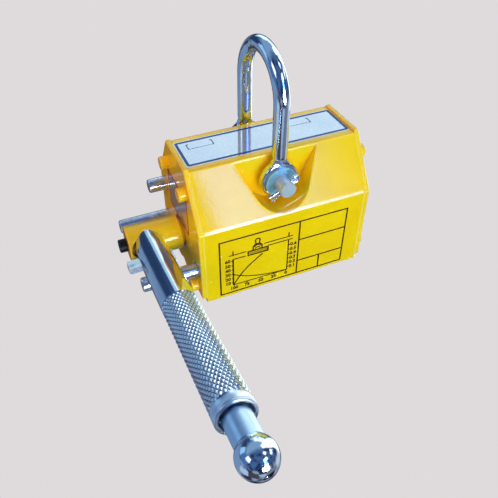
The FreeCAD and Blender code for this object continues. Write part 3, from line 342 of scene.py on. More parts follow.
def yellow_paint(looks, sizes):
    """Glossy paint with orange peel and a little grit, pale edges that are partly wear and partly a
    painted highlight, a painted highlight along the shoulders, painted amber shade in corners and
    painted dark shade in seams.
    """
    f = Finish("yellow_paint")
    tone = f.ramp(f.grain(45.0, 4.0), 0.35, 0.72)
    colour = f.mix(tone, looks.paint, looks.paint_shade)
    # Painted shade: sheltered corners go deep amber, standing in for shade and light bounced between
    # yellow faces
    corner_shade = f.times(f.shelter(9 * MM, 0.45, 0.92), 0.8)
    colour = f.mix(corner_shade, colour, looks.painted_corner_shade)
    patchy = f.ramp(f.grain(500.0, 2.0), 0.25, 0.55, 0.4, 1.0)
    # Pale edges: partly worn thin paint, partly a painted highlight where edges catch the light
    edge = f.times(f.edges(0.94, 0.99), patchy)
    colour = f.mix(f.times(edge, 0.45), colour, looks.edge_wear_and_highlight)
    # Painted highlight: a near-white line along the yokes' shoulder edges
    colour = f.mix(f.times(shoulder_highlight_mask(f, sizes), patchy), colour, (0.98, 0.95, 0.82, 1))
    # Painted shade: narrow seams and contact lines darken as if shadowed
    seam = f.times(f.shelter(1.5 * MM, 0.25, 0.6), 0.7)
    colour = f.mix(seam, colour, looks.seam)
    dust = f.specks(170.0, 0.09, 0.16)
    colour = f.mix(f.times(dust, 0.7), colour, (0.95, 0.88, 0.55, 1))
    pits = f.specks(110.0, 0.07, 0.12)
    colour = f.mix(f.times(pits, 0.6), colour, (0.30, 0.17, 0.01, 1))
    peel = f.grain(900.0, 2.0)
    brushed = f.streaks((900.0, 260.0, 260.0), (0, 0.6, 0))
    grit = f.math("SUBTRACT", f.times(dust, 0.8), pits)
    height = f.math("ADD", f.math("ADD", peel, f.times(brushed, 0.6)), grit)
    peel_depth = 0.07 * MM
    rounded_edge = f.add("ShaderNodeBevel", {"Radius": 2.0 * MM}, samples=8).outputs[0]
    return f.put({
        "Base Color": colour,
        "Roughness": f.ramp(f.grain(260.0, 3.0), 0.3, 0.7, 0.40, 0.52),
        "Normal": f.bump(height, 0.5, peel_depth),
        "Specular IOR Level": 0.1,
        "Coat Weight": 1.0,
        "Coat Roughness": 0.045,
        "Coat IOR": 1.5,
        "Coat Normal": f.bump(height, 0.22, peel_depth, rounded_edge),
    })


def plating(name, colour, rough, waves, satin_from=None):
    """Bright plating with smudges, hairline scratches, and waves of that stretch and depth.

    rough is its range of roughness. From satin_from outward along the handle the plating is satin.
    """
    f = Finish(name)
    smudge = f.grain(120.0, 5.0, 0.62)
    scratch = f.streaks((2600.0, 140.0, 2600.0), (0.2, 0, 0.3))
    stretch, depth = waves
    normal = f.bump(f.streaks(stretch), depth, 0.9 * MM)
    normal = f.bump(scratch, 0.08, 0.02 * MM, normal)
    spots = f.specks(260.0, 0.10, 0.10)
    smudged = f.mix(1.0, colour, (0.82, 0.84, 0.88, 1), "MULTIPLY")
    tone = f.mix(f.ramp(smudge, 0.35, 0.75), colour, smudged)
    roughness = f.ramp(smudge, 0.3, 0.75, *rough)
    if satin_from is not None:
        satin = f.ramp(f.along_handle(), satin_from, satin_from + 1 * MM, 0.0, 0.32)
        roughness = f.math("MAXIMUM", roughness, satin)
    return f.put({
        "Base Color": f.mix(f.times(spots, 0.55), tone, (0.10, 0.10, 0.13, 1)),
        "Metallic": 1.0,
        "Roughness": roughness,
        "Normal": normal,
    })


def zinc_plate(name, bright, dull, metallic, rough):
    """Zinc plating, faintly mottled, with pale edges; rough is its range of roughness."""
    f = Finish(name)
    mottle = f.grain(380.0, 6.0, 0.66)
    height = f.math("ADD", mottle, f.times(f.grain(2400.0, 3.0), 0.3))
    colour = f.mix(f.ramp(mottle, 0.44, 0.72), bright, dull)
    return f.put({
        "Base Color": f.mix(f.times(f.edges(), 0.6), colour, (0.88, 0.94, 0.98, 1)),
        "Metallic": metallic,
        "Roughness": f.ramp(mottle, 0.3, 0.7, *rough),
        "Normal": f.bump(height, 0.10, 0.04 * MM),
    })


def turned_metal(name, colour, metallic=1.0):
    """Plain turned metal with fine rings and slight staining."""
    f = Finish(name)
    stain = f.grain(180.0, 4.0)
    stained = f.mix(1.0, colour, (0.66, 0.64, 0.62, 1), "MULTIPLY")
    return f.put({
        "Base Color": f.mix(f.ramp(stain, 0.4, 0.7), colour, stained),
        "Metallic": metallic,
        "Roughness": f.ramp(stain, 0.3, 0.7, 0.28, 0.46),
        "Normal": f.bump(f.streaks((3000.0, 90.0, 90.0)), 0.15, 0.03 * MM),
    })


def black_oxide(looks):
    """Blackened steel with a worn grey edge."""
    f = Finish("black_oxide")
    grain = f.grain(1500.0, 4.0)
    return f.put({
        "Base Color": f.mix(f.times(f.edges(), 0.5), looks.oxide, (0.10, 0.11, 0.14, 1)),
        "Metallic": 0.4,
        "Roughness": f.ramp(grain, 0.3, 0.7, 0.32, 0.52),
        "Normal": f.bump(grain, 0.2, 0.04 * MM),
    })


def knurled_steel(looks):
    """Plated knurl: bright worn tops, and painted shade in the grooves, dark navy."""
    f = Finish("knurled_steel")
    groove = f.shelter(0.9 * MM, 0.55, 0.9)
    wear = f.grain(220.0, 4.0)
    # Painted shade: the grooves darken to navy as if in shadow
    groove_shade = f.mix(f.ramp(wear, 0.3, 0.7), (0.008, 0.03, 0.075, 1), (0.03, 0.07, 0.14, 1))
    return f.put({
        "Base Color": f.mix(groove, looks.knurl, groove_shade),
        "Metallic": 0.95,
        "Roughness": f.ramp(wear, 0.3, 0.7, 0.12, 0.22),
        "Normal": f.bump(f.grain(2600.0, 2.0), 0.12, 0.04 * MM),
    })


def rod_and_ball(looks):
    """Satin turned rod that ends in a mirror-bright ball."""
    f = Finish("rod_and_ball")
    satin_end, polish_start = 139.2 * MM, 144.5 * MM
    on_ball = f.ramp(f.along_handle(), satin_end, polish_start)
    turn_marks = f.streaks((60.0, 3800.0, 60.0), (math.asin(HANDLE_OUT.z), 0, 0))
    smudge = f.grain(300.0, 4.0)
    satin = f.ramp(smudge, 0.3, 0.7, 0.30, 0.38)
    mirror = f.ramp(smudge, 0.35, 0.75, 0.07, 0.13)
    marks = f.times(turn_marks, f.math("SUBTRACT", 1.0, on_ball))
    return f.put({
        "Base Color": f.mix(on_ball, (0.60, 0.78, 0.93, 1), looks.chrome),
        "Metallic": 1.0,
        "Roughness": f.add("ShaderNodeMix", {0: on_ball, 2: satin, 3: mirror}).outputs[0],
        "Normal": f.bump(marks, 0.10, 0.03 * MM),
    })


def printed(name, colour, smoothest):
    """Printed ink, a little uneven; smoothest is its lowest roughness."""
    f = Finish(name)
    uneven = f.grain(900.0, 3.0)
    worn = f.mix(0.35, colour, (0.30, 0.24, 0.12, 1))
    return f.put({
        "Base Color": f.mix(f.ramp(uneven, 0.58, 0.8), colour, worn),
        "Roughness": f.ramp(uneven, 0.3, 0.7, smoothest, smoothest + 0.12),
        "Specular IOR Level": 0.2,
    })


def label_film(name, colour, other, metallic, rough):
    """Glossy printed foil in two tones; rough is its range of roughness."""
    f = Finish(name)
    tone = f.streaks((40.0, 40.0, 55.0), detail=1.0)
    mixed = f.mix(f.ramp(tone, 0.40, 0.62), colour, other)
    paler = f.mix(0.3, mixed, (1, 1, 1, 1))
    return f.put({
        "Base Color": f.mix(f.ramp(f.grain(900.0, 2.0), 0.5, 0.8), mixed, paler),
        "Metallic": metallic,
        "Roughness": f.ramp(tone, 0.3, 0.7, *rough),
        "Normal": f.bump(f.grain(70.0, 2.0), 0.03, 0.4 * MM),
        "Coat Weight": 0.4,
        "Coat Roughness": 0.05,
    })


def coat_mesh(mesh, material):
    """Give a mesh one finish."""
    mesh.materials.clear()
    mesh.materials.append(material)


def coat(material, *names):
    """Give CAD nodes a finish."""
    for name in names:
        coat_mesh(NODES[name].data, material)


def new_object(name, data):
    """An object in the scene that holds that data."""
    made = bpy.data.objects.new(name, data)
    bpy.context.scene.collection.objects.link(made)
    return made


def discard(holder):
    """Remove an object and what it holds."""
    data = holder.data
    store = bpy.data.meshes if holder.type == "MESH" else bpy.data.curves
    bpy.data.objects.remove(holder)
    store.remove(data)


def piece(name, mesh, material, body):
    """A finished mesh as a new piece that rides on a body."""
    mesh.name = name
    coat_mesh(mesh, material)
    made = new_object(name, mesh)
    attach(made, body)
    return made


def smooth_to(mesh, angle):
    """Shade a mesh smooth, up to an angle in degrees."""
    mesh.shade_smooth()
    mesh.set_sharp_from_angle(angle=math.radians(angle))


def closed_mesh(name, shape):
    """A bmesh as a mesh with its doubles merged and its faces outward."""
    bmesh.ops.remove_doubles(shape, verts=shape.verts, dist=1e-7)
    bmesh.ops.recalc_face_normals(shape, faces=shape.faces)
    mesh = bpy.data.meshes.new(name)
    shape.to_mesh(mesh)
    shape.free()
    if not mesh.polygons:
        raise RuntimeError(f"{name} came out empty")
    return mesh


def node_copy(name, node):
    """A CAD node's loose triangles as a new closed mesh."""
    shape = bmesh.new()
    shape.from_mesh(NODES[node].data)
    return closed_mesh(name, shape)


def finished_mesh(holder):
    """The mesh that an object comes to; the object itself is removed."""
    mesh = bpy.data.meshes.new_from_object(holder.evaluated_get(bpy.context.evaluated_depsgraph_get()))
    holder.modifiers.clear()
    discard(holder)
    return mesh


def lathe(profile, segments):
    """A closed turned shape about Z; profile is (along, radius) pairs from one end to the other."""
    shape = bmesh.new()
    turns = [2 * math.pi * i / segments for i in range(segments)]
    rings = []
    for along, radius in profile:
        ring_turns = turns if radius else turns[:1]
        spots = [(radius * math.cos(t), radius * math.sin(t), along) for t in ring_turns]
        rings.append([shape.verts.new(spot) for spot in spots])
    for ring, following in zip(rings, rings[1:]):
        for i in range(segments):
            j = (i + 1) % segments
            corners = [ring[i % len(ring)], ring[j % len(ring)], following[j % len(following)],
                       following[i % len(following)]]
            shape.faces.new(list(dict.fromkeys(corners)))
    return shape


def arc(centre, radius, start, end, steps):
    """Points on an arc, as (first, second) pairs, angles in degrees."""
    turns = [math.radians(start + (end - start) * i / steps) for i in range(steps + 1)]
    return [(centre[0] + radius * math.cos(t), centre[1] + radius * math.sin(t)) for t in turns]


def smooth_line(points, steps=8):
    """A smooth line through points."""
    line = []
    ends = [points[0], *points, points[-1]]
    for p0, p1, p2, p3 in zip(ends, ends[1:], ends[2:], ends[3:]):
        a, b, c, d = (Vector(p) for p in (p0, p1, p2, p3))
        for i in range(steps):
            t = i / steps
            line.append(tuple(0.5 * (2 * b + (c - a) * t + (2 * a - 5 * b + 4 * c - d) * t * t
                                     + (3 * b - a - 3 * c + d) * t ** 3)))
    return [*line, points[-1]]


def rounded(x0, y0, x1, y1, radius):
    """Outline of a rectangle with rounded corners."""
    steps = 5
    corners = [((x1 - radius, y1 - radius), 0), ((x0 + radius, y1 - radius), 90),
               ((x0 + radius, y0 + radius), 180), ((x1 - radius, y0 + radius), 270)]
    return [p for centre, start in corners for p in arc(centre, radius, start, start + 90, steps)]


def on_front(point, height):
    """A place on the front face, from millimetres along and up."""
    return Vector((point[0] * MM, FRONT_Y - height, point[1] * MM))


def on_top(point, height):
    """A place on the top face, from millimetres along and across."""
    return Vector((point[0] * MM, point[1] * MM, TOP_Z + height))


def on_end(point, height):
    """A place on the handle's end plate, from millimetres across and up."""
    return Vector((END_X - height, point[0] * MM, point[1] * MM))


class Print:
    """Thin closed shapes on a face of the body, drawn in millimetres there, between two heights."""

    mitre_limit = 0.3

    def __init__(self, place, low, high):
        self.shape = bmesh.new()
        self.place, self.low, self.high = place, low, high

    def line(self, width, *points, closed=False):
        """Add a flat line through points; its width is in metres."""
        points = [Vector(p) for p in points]
        count = len(points)
        rows = []
        for i, point in enumerate(points):
            arriving = (point - points[i - 1]).normalized() if closed or i else None
            leaving = (points[(i + 1) % count] - point).normalized() if closed or i < count - 1 else None
            arriving = arriving or leaving
            leaving = leaving or arriving
            both = arriving + leaving
            across = Vector((-both.y, both.x)).normalized()
            square = across.dot(Vector((-arriving.y, arriving.x)))
            reach = width / MM / 2 / max(square, self.mitre_limit)
            left, right = point + across * reach, point - across * reach
            corners = ((left, self.high), (right, self.high), (right, self.low), (left, self.low))
            rows.append([self.shape.verts.new(self.place(spot, height)) for spot, height in corners])
        following = rows[1:] + rows[:1] if closed else rows[1:]
        for row, after in zip(rows, following):
            for k in range(4):
                m = (k + 1) % 4
                self.shape.faces.new((row[k], row[m], after[m], after[k]))
        if not closed:
            self.shape.faces.new(rows[0])
            self.shape.faces.new(rows[-1][::-1])

    def frame(self, width, x0, y0, x1, y1):
        """Add a rectangle of lines."""
        self.line(width, (x0, y0), (x1, y0), (x1, y1), (x0, y1), closed=True)

    def plate(self, outline):
        """Add a flat plate with that outline."""
        upper = [self.shape.verts.new(self.place(p, self.high)) for p in outline]
        lower = [self.shape.verts.new(self.place(p, self.low)) for p in outline]
        self.shape.faces.new(upper)
        self.shape.faces.new(lower[::-1])
        for i in range(len(outline)):
            j = (i + 1) % len(outline)
            self.shape.faces.new((upper[i], upper[j], lower[j], lower[i]))

    def number(self, text, x, y, height):
        """Add a plain number, centred on a point; its height is in metres."""
        type_size = 1.4
        letters = bpy.data.curves.new("number", "FONT")
        letters.body = text
        letters.size = height / MM * type_size
        letters.align_x = "CENTER"
        letters.align_y = "CENTER"
        letters.resolution_u = 2
        letters.extrude = 0.5
        letters.offset = 0.13
        flat = finished_mesh(new_object("number", letters))
        for vertex in flat.vertices:
            spot = (x + vertex.co.x, y + vertex.co.y)
            vertex.co = self.place(spot, self.high if vertex.co.z > 0 else self.low)
        self.shape.from_mesh(flat)
        bpy.data.meshes.remove(flat)

    def piece(self, name, material):
        """The finished print as a piece on the body."""
        return piece(name, closed_mesh(name, self.shape), material, "lifter_body")


class LIFTER_OT_painted_body(bpy.types.Operator):
    """Paint the body, end plates, screws and hub"""

    bl_idname = "lifter.painted_body"
    bl_label = "Painted Body"

    def execute(self, context):
        paint = yellow_paint(context.scene.lifter_looks, context.scene.lifter_sizes)
        coat(paint, "front_yoke", "rear_yoke", "top_spacer", "handle_end_plate", "far_end_plate",
             "handle_end_screws", "far_end_screws", "drive_hub")
        return {"FINISHED"}


class LIFTER_OT_plated_steel(bpy.types.Operator):
    """Finish the pins, washers, rod, key and black screw"""

    bl_idname = "lifter.plated_steel"
    bl_label = "Plated Steel"

    def execute(self, context):
        looks = context.scene.lifter_looks
        bright = zinc_plate("zinc_bright", looks.zinc, looks.zinc_dark, 0.92, (0.12, 0.24))
        satin = zinc_plate("zinc_satin", looks.washer, looks.washer_dark, 0.5, (0.26, 0.38))
        pale = zinc_plate("zinc_pale", looks.pin, looks.pin_dark, 0.35, (0.26, 0.36))
        coat(bright, "front_stop_pin", "rear_stop_pin", "lock_pin", "front_split_pin", "rear_split_pin",
             "safety_key")
        coat(satin, "front_washer", "rear_washer")
        coat(pale, "cross_pin")
        coat(rod_and_ball(looks), "push_rod")
        coat(black_oxide(looks), "hub_screw")
        return {"FINISHED"}


class LIFTER_OT_inner_works(bpy.types.Operator):
    """Finish the rotor, magnets, bushes, spring and bottom spacer"""

    bl_idname = "lifter.inner_works"
    bl_label = "Inner Works"

    def execute(self, context):
        looks = context.scene.lifter_looks
        coat(turned_metal("turned_steel", looks.steel), "rotor_front_pole", "rotor_rear_pole",
             "far_journal", "drive_flange_screws", "far_flange_screws", "return_spring")
        coat(turned_metal("magnet_block", looks.magnet, 0.7), "fixed_magnets", "rotor_magnets")
        coat(turned_metal("turned_brass", looks.brass), "bottom_spacer", "handle_end_bush",
             "far_end_bush")
        return {"FINISHED"}


class LIFTER_OT_return_spring(bpy.types.Operator):
    """Copy the return spring's coil, smooth-shaded, in place of the CAD node"""

    bl_idname = "lifter.return_spring"
    bl_label = "Return Spring"

    def execute(self, context):
        mesh = node_copy("spring_coil", "return_spring")
        smooth_to(mesh, 40)
        coat_mesh(mesh, NODES["return_spring"].data.materials[0])
        made = new_object("spring_coil", mesh)
        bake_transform(made)
        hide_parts("return_spring")
        return {"FINISHED"}


class LIFTER_OT_forged_shackle(bpy.types.Operator):
    """Soften the shackle's feet and eyes as forging leaves them"""

    bl_idname = "lifter.forged_shackle"
    bl_label = "Forged Shackle"

    def execute(self, context):
        sizes = context.scene.lifter_sizes
        blank = new_object("shackle_blank", node_copy("shackle_blank", "shackle"))
        skin = blank.modifiers.new("skin", "REMESH")
        skin.mode = "VOXEL"
        skin.voxel_size = sizes.shackle_grain
        soften = blank.modifiers.new("soften", "SMOOTH")
        soften.factor = 0.5
        soften.iterations = sizes.shackle_softness
        mesh = finished_mesh(blank)
        mesh.shade_smooth()
        waves = ((380, 380, 60), 0.09)
        finish = plating("shackle_chrome", context.scene.lifter_looks.chrome, (0.06, 0.11), waves)
        made = piece("shackle_forged", mesh, finish, "shackle")
        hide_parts("shackle")
        return {"FINISHED"}


def knurl_end(sizes):
    """Rotor axis to the outer end of the knurl."""
    return sizes.knurl_start + sizes.knurl_rows * sizes.knurl_pitch


def tube_profile(sizes):
    """The handle tube for turning, from its spigot to the foot of its bore."""
    radius = TUBE_RADIUS
    core = radius - sizes.knurl_depth
    first = sizes.knurl_start - 0.5 * sizes.knurl_pitch
    last = knurl_end(sizes)
    reach, mouth, bore = sizes.tube_reach, sizes.tube_mouth, sizes.tube_bore
    spigot, rim, bevel = 5 * MM, 0.7 * MM, 0.25 * MM
    return [
        # Spigot and foot
        (-6 * MM, 0), (-6 * MM, spigot), (2 * MM, spigot), (2 * MM, radius),
        # Sunk seat of the knurl
        (first - 0.1 * MM, radius), (first + 0.35 * MM, core),
        (last - 0.5 * MM, core), (last, radius - 0.05 * MM), (last + 0.3 * MM, radius),
        # Fine groove and rounded rim
        (reach - 1.5 * MM, radius), (reach - 1.3 * MM, radius - 0.12 * MM),
        (reach - 1.1 * MM, radius - 0.02 * MM),
        *((along, out) for out, along in arc((radius - rim, reach - rim), rim, 0, 90, 6)),
        # Mouth and bore
        (reach, mouth + bevel), (reach - bevel, mouth), (reach - 8 * MM, mouth), (reach - 8 * MM, bore),
        (6 * MM, bore), (6 * MM, 0),
    ]


class LIFTER_OT_handle_tube(bpy.types.Operator):
    """Turn the handle tube with its slot, mouth and the sunk seat of the knurl"""

    bl_idname = "lifter.handle_tube"
    bl_label = "Handle Tube"

    def execute(self, context):
        sizes = context.scene.lifter_sizes
        turned = lathe(tube_profile(sizes), segments=108)
        tube = new_object("tube_blank", closed_mesh("tube_blank", turned))
        slot = bmesh.new()
        bmesh.ops.create_cube(slot, size=1.0)
        bmesh.ops.scale(slot, vec=SLOT_SIZE, verts=slot.verts)
        bmesh.ops.translate(slot, vec=(0, 0, SLOT_MIDDLE), verts=slot.verts)
        cutter = new_object("slot_cutter", closed_mesh("slot_cutter", slot))
        cut = tube.modifiers.new("slot", "BOOLEAN")
        cut.operation = "DIFFERENCE"
        cut.solver = "EXACT"
        cut.object = cutter
        mesh = finished_mesh(tube)
        discard(cutter)
        mesh.transform(HANDLE_PLACE)
        smooth_to(mesh, 32)
        chrome, waves = context.scene.lifter_looks.chrome, ((95, 95, 95), 0.05)
        finish = plating("handle_chrome", chrome, (0.07, 0.17), waves, knurl_end(sizes))
        made = piece("handle_tube_turned", mesh, finish, "handle")
        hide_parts("handle_tube")
        return {"FINISHED"}


def knurl_tree(material):
    """Geometry nodes that set flat-topped diamonds in staggered rows round the Z axis."""
    tree = bpy.data.node_groups.new("knurl", "GeometryNodeTree")
    for name, kind in (("Rows", "Int"), ("Columns", "Int"), ("Start", "Float"), ("Pitch", "Float"),
                       ("Radius", "Float"), ("Depth", "Float")):
        tree.interface.new_socket(name, in_out="INPUT", socket_type=f"NodeSocket{kind}")
    tree.interface.new_socket("Geometry", in_out="OUTPUT", socket_type="NodeSocketGeometry")
    kit = NodeKit(tree)
    given = kit.add("NodeGroupInput").outputs
    count = kit.times(given["Rows"], given["Columns"])
    index = kit.add("GeometryNodeInputIndex").outputs[0]
    row = kit.math("FLOOR", kit.math("DIVIDE", kit.math("ADD", index, 0.5), given["Columns"]))
    stagger = kit.times(kit.math("FLOORED_MODULO", row, 2.0), 0.5)
    step = kit.math("DIVIDE", 2 * math.pi, given["Columns"])
    angle = kit.times(kit.math("ADD", index, stagger), step)
    core = kit.math("SUBTRACT", given["Radius"], given["Depth"])
    spot = kit.add("ShaderNodeCombineXYZ", {
        "X": kit.times(core, kit.math("COSINE", angle)),
        "Y": kit.times(core, kit.math("SINE", angle)),
        "Z": kit.math("ADD", given["Start"], kit.times(row, given["Pitch"])),
    }).outputs[0]
    points = kit.add("GeometryNodePoints", {"Count": count, "Position": spot}).outputs[0]
    turn = kit.add("ShaderNodeCombineXYZ", {"Y": math.pi / 2, "Z": angle}).outputs[0]
    diamond = kit.add("GeometryNodeMeshCone", {
        "Vertices": 4, "Radius Top": 0.28, "Radius Bottom": 1.04, "Depth": 1.0,
    }).outputs["Mesh"]
    half_round = kit.times(kit.times(core, step), 0.5)
    spread = {"X": given["Pitch"], "Y": half_round, "Z": given["Depth"]}
    laid = kit.add("GeometryNodeInstanceOnPoints", {
        "Points": points, "Instance": diamond, "Rotation": turn,
        "Scale": kit.add("ShaderNodeCombineXYZ", spread).outputs[0],
    }).outputs[0]
    solid = kit.add("GeometryNodeRealizeInstances", {"Geometry": laid}).outputs[0]
    coated = kit.add("GeometryNodeSetMaterial", {"Geometry": solid, "Material": material}).outputs[0]
    kit.add("NodeGroupOutput", {"Geometry": coated})
    return tree


class LIFTER_OT_knurled_grip(bpy.types.Operator):
    """Lay the diamonds of the knurl round the handle tube"""

    bl_idname = "lifter.knurled_grip"
    bl_label = "Knurled Grip"

    def execute(self, context):
        sizes = context.scene.lifter_sizes
        material = knurled_steel(context.scene.lifter_looks)
        tree = knurl_tree(material)
        holder = new_object("knurl_holder", bpy.data.meshes.new("knurl_holder"))
        modifier = holder.modifiers.new("knurl", "NODES")
        modifier.node_group = tree
        values = {"Rows": sizes.knurl_rows, "Columns": sizes.knurl_columns, "Start": sizes.knurl_start,
                  "Pitch": sizes.knurl_pitch, "Radius": TUBE_RADIUS, "Depth": sizes.knurl_depth}
        for item in tree.interface.items_tree:
            if item.in_out == "INPUT":
                modifier[item.identifier] = values[item.name]
        mesh = finished_mesh(holder)
        tops = max((math.hypot(v.co.x, v.co.y) for v in mesh.vertices), default=0.0)
        if abs(tops - TUBE_RADIUS) > 0.05 * MM:
            raise RuntimeError(f"the knurl's tops are {tops / MM:.3f} mm from the handle's axis")
        mesh.transform(HANDLE_PLACE)
        piece("knurled_grip", mesh, material, "handle")
        return {"FINISHED"}


class LIFTER_OT_front_chart(bpy.types.Operator):
    """Print the frame and the chart on the front face"""

    bl_idname = "lifter.front_chart"
    bl_label = "Front Chart"

    def execute(self, context):
        sizes = context.scene.lifter_sizes
        heavy, thin = sizes.frame_line, sizes.chart_line
        chart = Print(on_front, -sizes.print_depth, sizes.print_depth)
        line = chart.line
        # Frame and cells
        left, right, bottom, top = -36.0, 34.2, 2.55, 38.5
        split, upper, lower, half_cell = 7.3, 26.2, 11.5, 20.2
        chart.frame(heavy, left, bottom, right, top)
        line(heavy, (split, bottom), (split, top))
        line(heavy, (split, upper), (right, upper))
        line(heavy, (split, lower), (right, lower))
        line(heavy, (half_cell, bottom), (half_cell, lower))
        # Axes at either side and the base line
        near, far, near_base, far_base = -29.0, 1.4, 7.5, 7.2
        line(heavy, (near, near_base), (near, 25.8))
        line(thin, (near, 28.4), (near, 31.2))
        line(thin, (near, near_base), (far, far_base))
        line(heavy * 0.8, (far, far_base), (far, 28.4))
        line(thin, (far, 30.8), (far, 33.4))
        # Level lines with arrow heads
        for x, z, side, start, end in ((near, 28.5, 1, -31.2, -22.0), (near, 25.6, -1, near, -22.2),
                                       (far, 30.6, 1, -12.3, 3.8), (far, 28.5, -1, -10.0, 3.6)):
            line(thin, (start, z), (end, z))
            half, rise = 0.55 * side, 1.5 * side
            chart.plate([(x, z), (x + half, z + rise), (x - half, z + rise)])
        # Curves
        rising = [(near, 7.6), (-24.9, 13.5), (-21.4, 17.4), (-17.3, 20.9), (-12.9, 24.2)]
        falling = [(near, 15.0), (-23.0, 11.9), (-14.6, 9.3), (-6.0, 7.9), (far, 7.3)]
        line(thin * 1.25, *smooth_line(rising))
        line(thin, *smooth_line(falling))
        # Hatched bar
        bar_left, bar_right, bar_top = -20.9, -10.0, 28.0
        hatches, pitch, lean = 19, 0.56, 1.3
        chart.frame(thin * 1.2, bar_left, 25.3, bar_right, bar_top)
        for i in range(hatches):
            x = bar_left + pitch * i
            line(thin * 0.4, (x, 27.9), (min(x + lean, bar_right), 25.4))
        # Small outline of a lifter on the bar
        block = [(-18.2, bar_top), (-18.2, 30.4), (-17.1, 31.7), (-14.5, 31.7), (-13.4, 30.4),
                 (-13.4, bar_top)]
        ring = [(-16.6, 31.7), (-16.9, 33.0), *arc((-15.8, 33.9), 1.25, 200, -20, 12), (-14.7, 33.0),
                (-15.0, 31.7)]
        line(thin * 1.2, *block)
        line(thin, *smooth_line([(-17.6, 29.9), (-16.6, 30.9), (-15.0, 30.9), (-14.0, 29.9)], 5))
        line(thin, *smooth_line([(-17.3, 28.6), (-16.4, 29.5), (-15.2, 29.5), (-14.3, 28.6)], 5))
        line(thin * 1.2, *ring)
        # Ticks and plain numbers
        tick, aside, digits = 0.9, 2.9, sizes.number_height
        for i, z in enumerate((24.8, 21.6, 18.5, 15.4, 12.3, 9.2)):
            line(thin, (near - tick, z), (near, z))
            chart.number(str(60 - 10 * i), near - aside, z, digits)
            line(thin, (far, z), (far + tick, z))
            chart.number(f"0.{6 - i}", far + aside, z, digits)
        for i, x in enumerate((-28.6, -21.4, -13.6, -6.2, 1.0)):
            line(thin, (x, 7.3), (x, 6.6))
            chart.number(str(100 - 25 * i), x, 5.1, digits)
        chart.piece("front_chart", printed("chart_ink", context.scene.lifter_looks.ink, 0.30))
        return {"FINISHED"}


class LIFTER_OT_top_label(bpy.types.Operator):
    """Lay the glossy label on the top face, with its border and empty fields"""

    bl_idname = "lifter.top_label"
    bl_label = "Top Label"

    def execute(self, context):
        sizes, looks = context.scene.lifter_sizes, context.scene.lifter_looks
        depth = sizes.print_depth
        film = Print(on_top, 0.0, depth)
        film.plate(rounded(-43.2, -11.4, 43.2, 11.4, 0.8))
        foil = label_film("label_film", looks.label, (0.45, 0.63, 0.80, 1), 0.5, (0.05, 0.09))
        film.piece("top_label", foil)
        lines = Print(on_top, 0.5 * depth, 2 * depth)
        lines.line(sizes.label_line, *rounded(-42.0, -10.2, 42.0, 10.2, 0.5), closed=True)
        # Brackets and a base line round each empty field
        half_field, half_base, lip, low, high = 6.5, 5.0, 1.0, 3.2, 7.4
        for x in (-31.0, 22.0):
            for side in (-1, 1):
                end = x + side * half_field
                inner = end - side * lip
                lines.line(0.5 * MM, (inner, high), (end, high), (end, low), (inner, low))
            lines.line(0.22 * MM, (x - half_base, low), (x + half_base, low))
        lines.piece("label_lines", printed("label_ink", looks.label_ink, 0.15))
        return {"FINISHED"}


class LIFTER_OT_end_sticker(bpy.types.Operator):
    """Put the plain silver sticker with its outline on the handle's end plate"""

    bl_idname = "lifter.end_sticker"
    bl_label = "End Sticker"

    def execute(self, context):
        sizes, looks = context.scene.lifter_sizes, context.scene.lifter_looks
        depth = sizes.print_depth
        film = Print(on_end, 0.0, depth)
        film.plate(rounded(-15.5, 33.5, 15.5, 55.6, 0.6))
        foil = label_film("sticker_film", looks.sticker, (0.50, 0.47, 0.43, 1), 0.6, (0.16, 0.26))
        film.piece("end_sticker", foil)
        outline = Print(on_end, 0.5 * depth, 2 * depth)
        outline.line(sizes.sticker_line, *rounded(-15.0, 34.0, 15.0, 55.1, 0.4), closed=True)
        outline.piece("sticker_outline", printed("sticker_ink", looks.sticker_ink, 0.2))
        return {"FINISHED"}


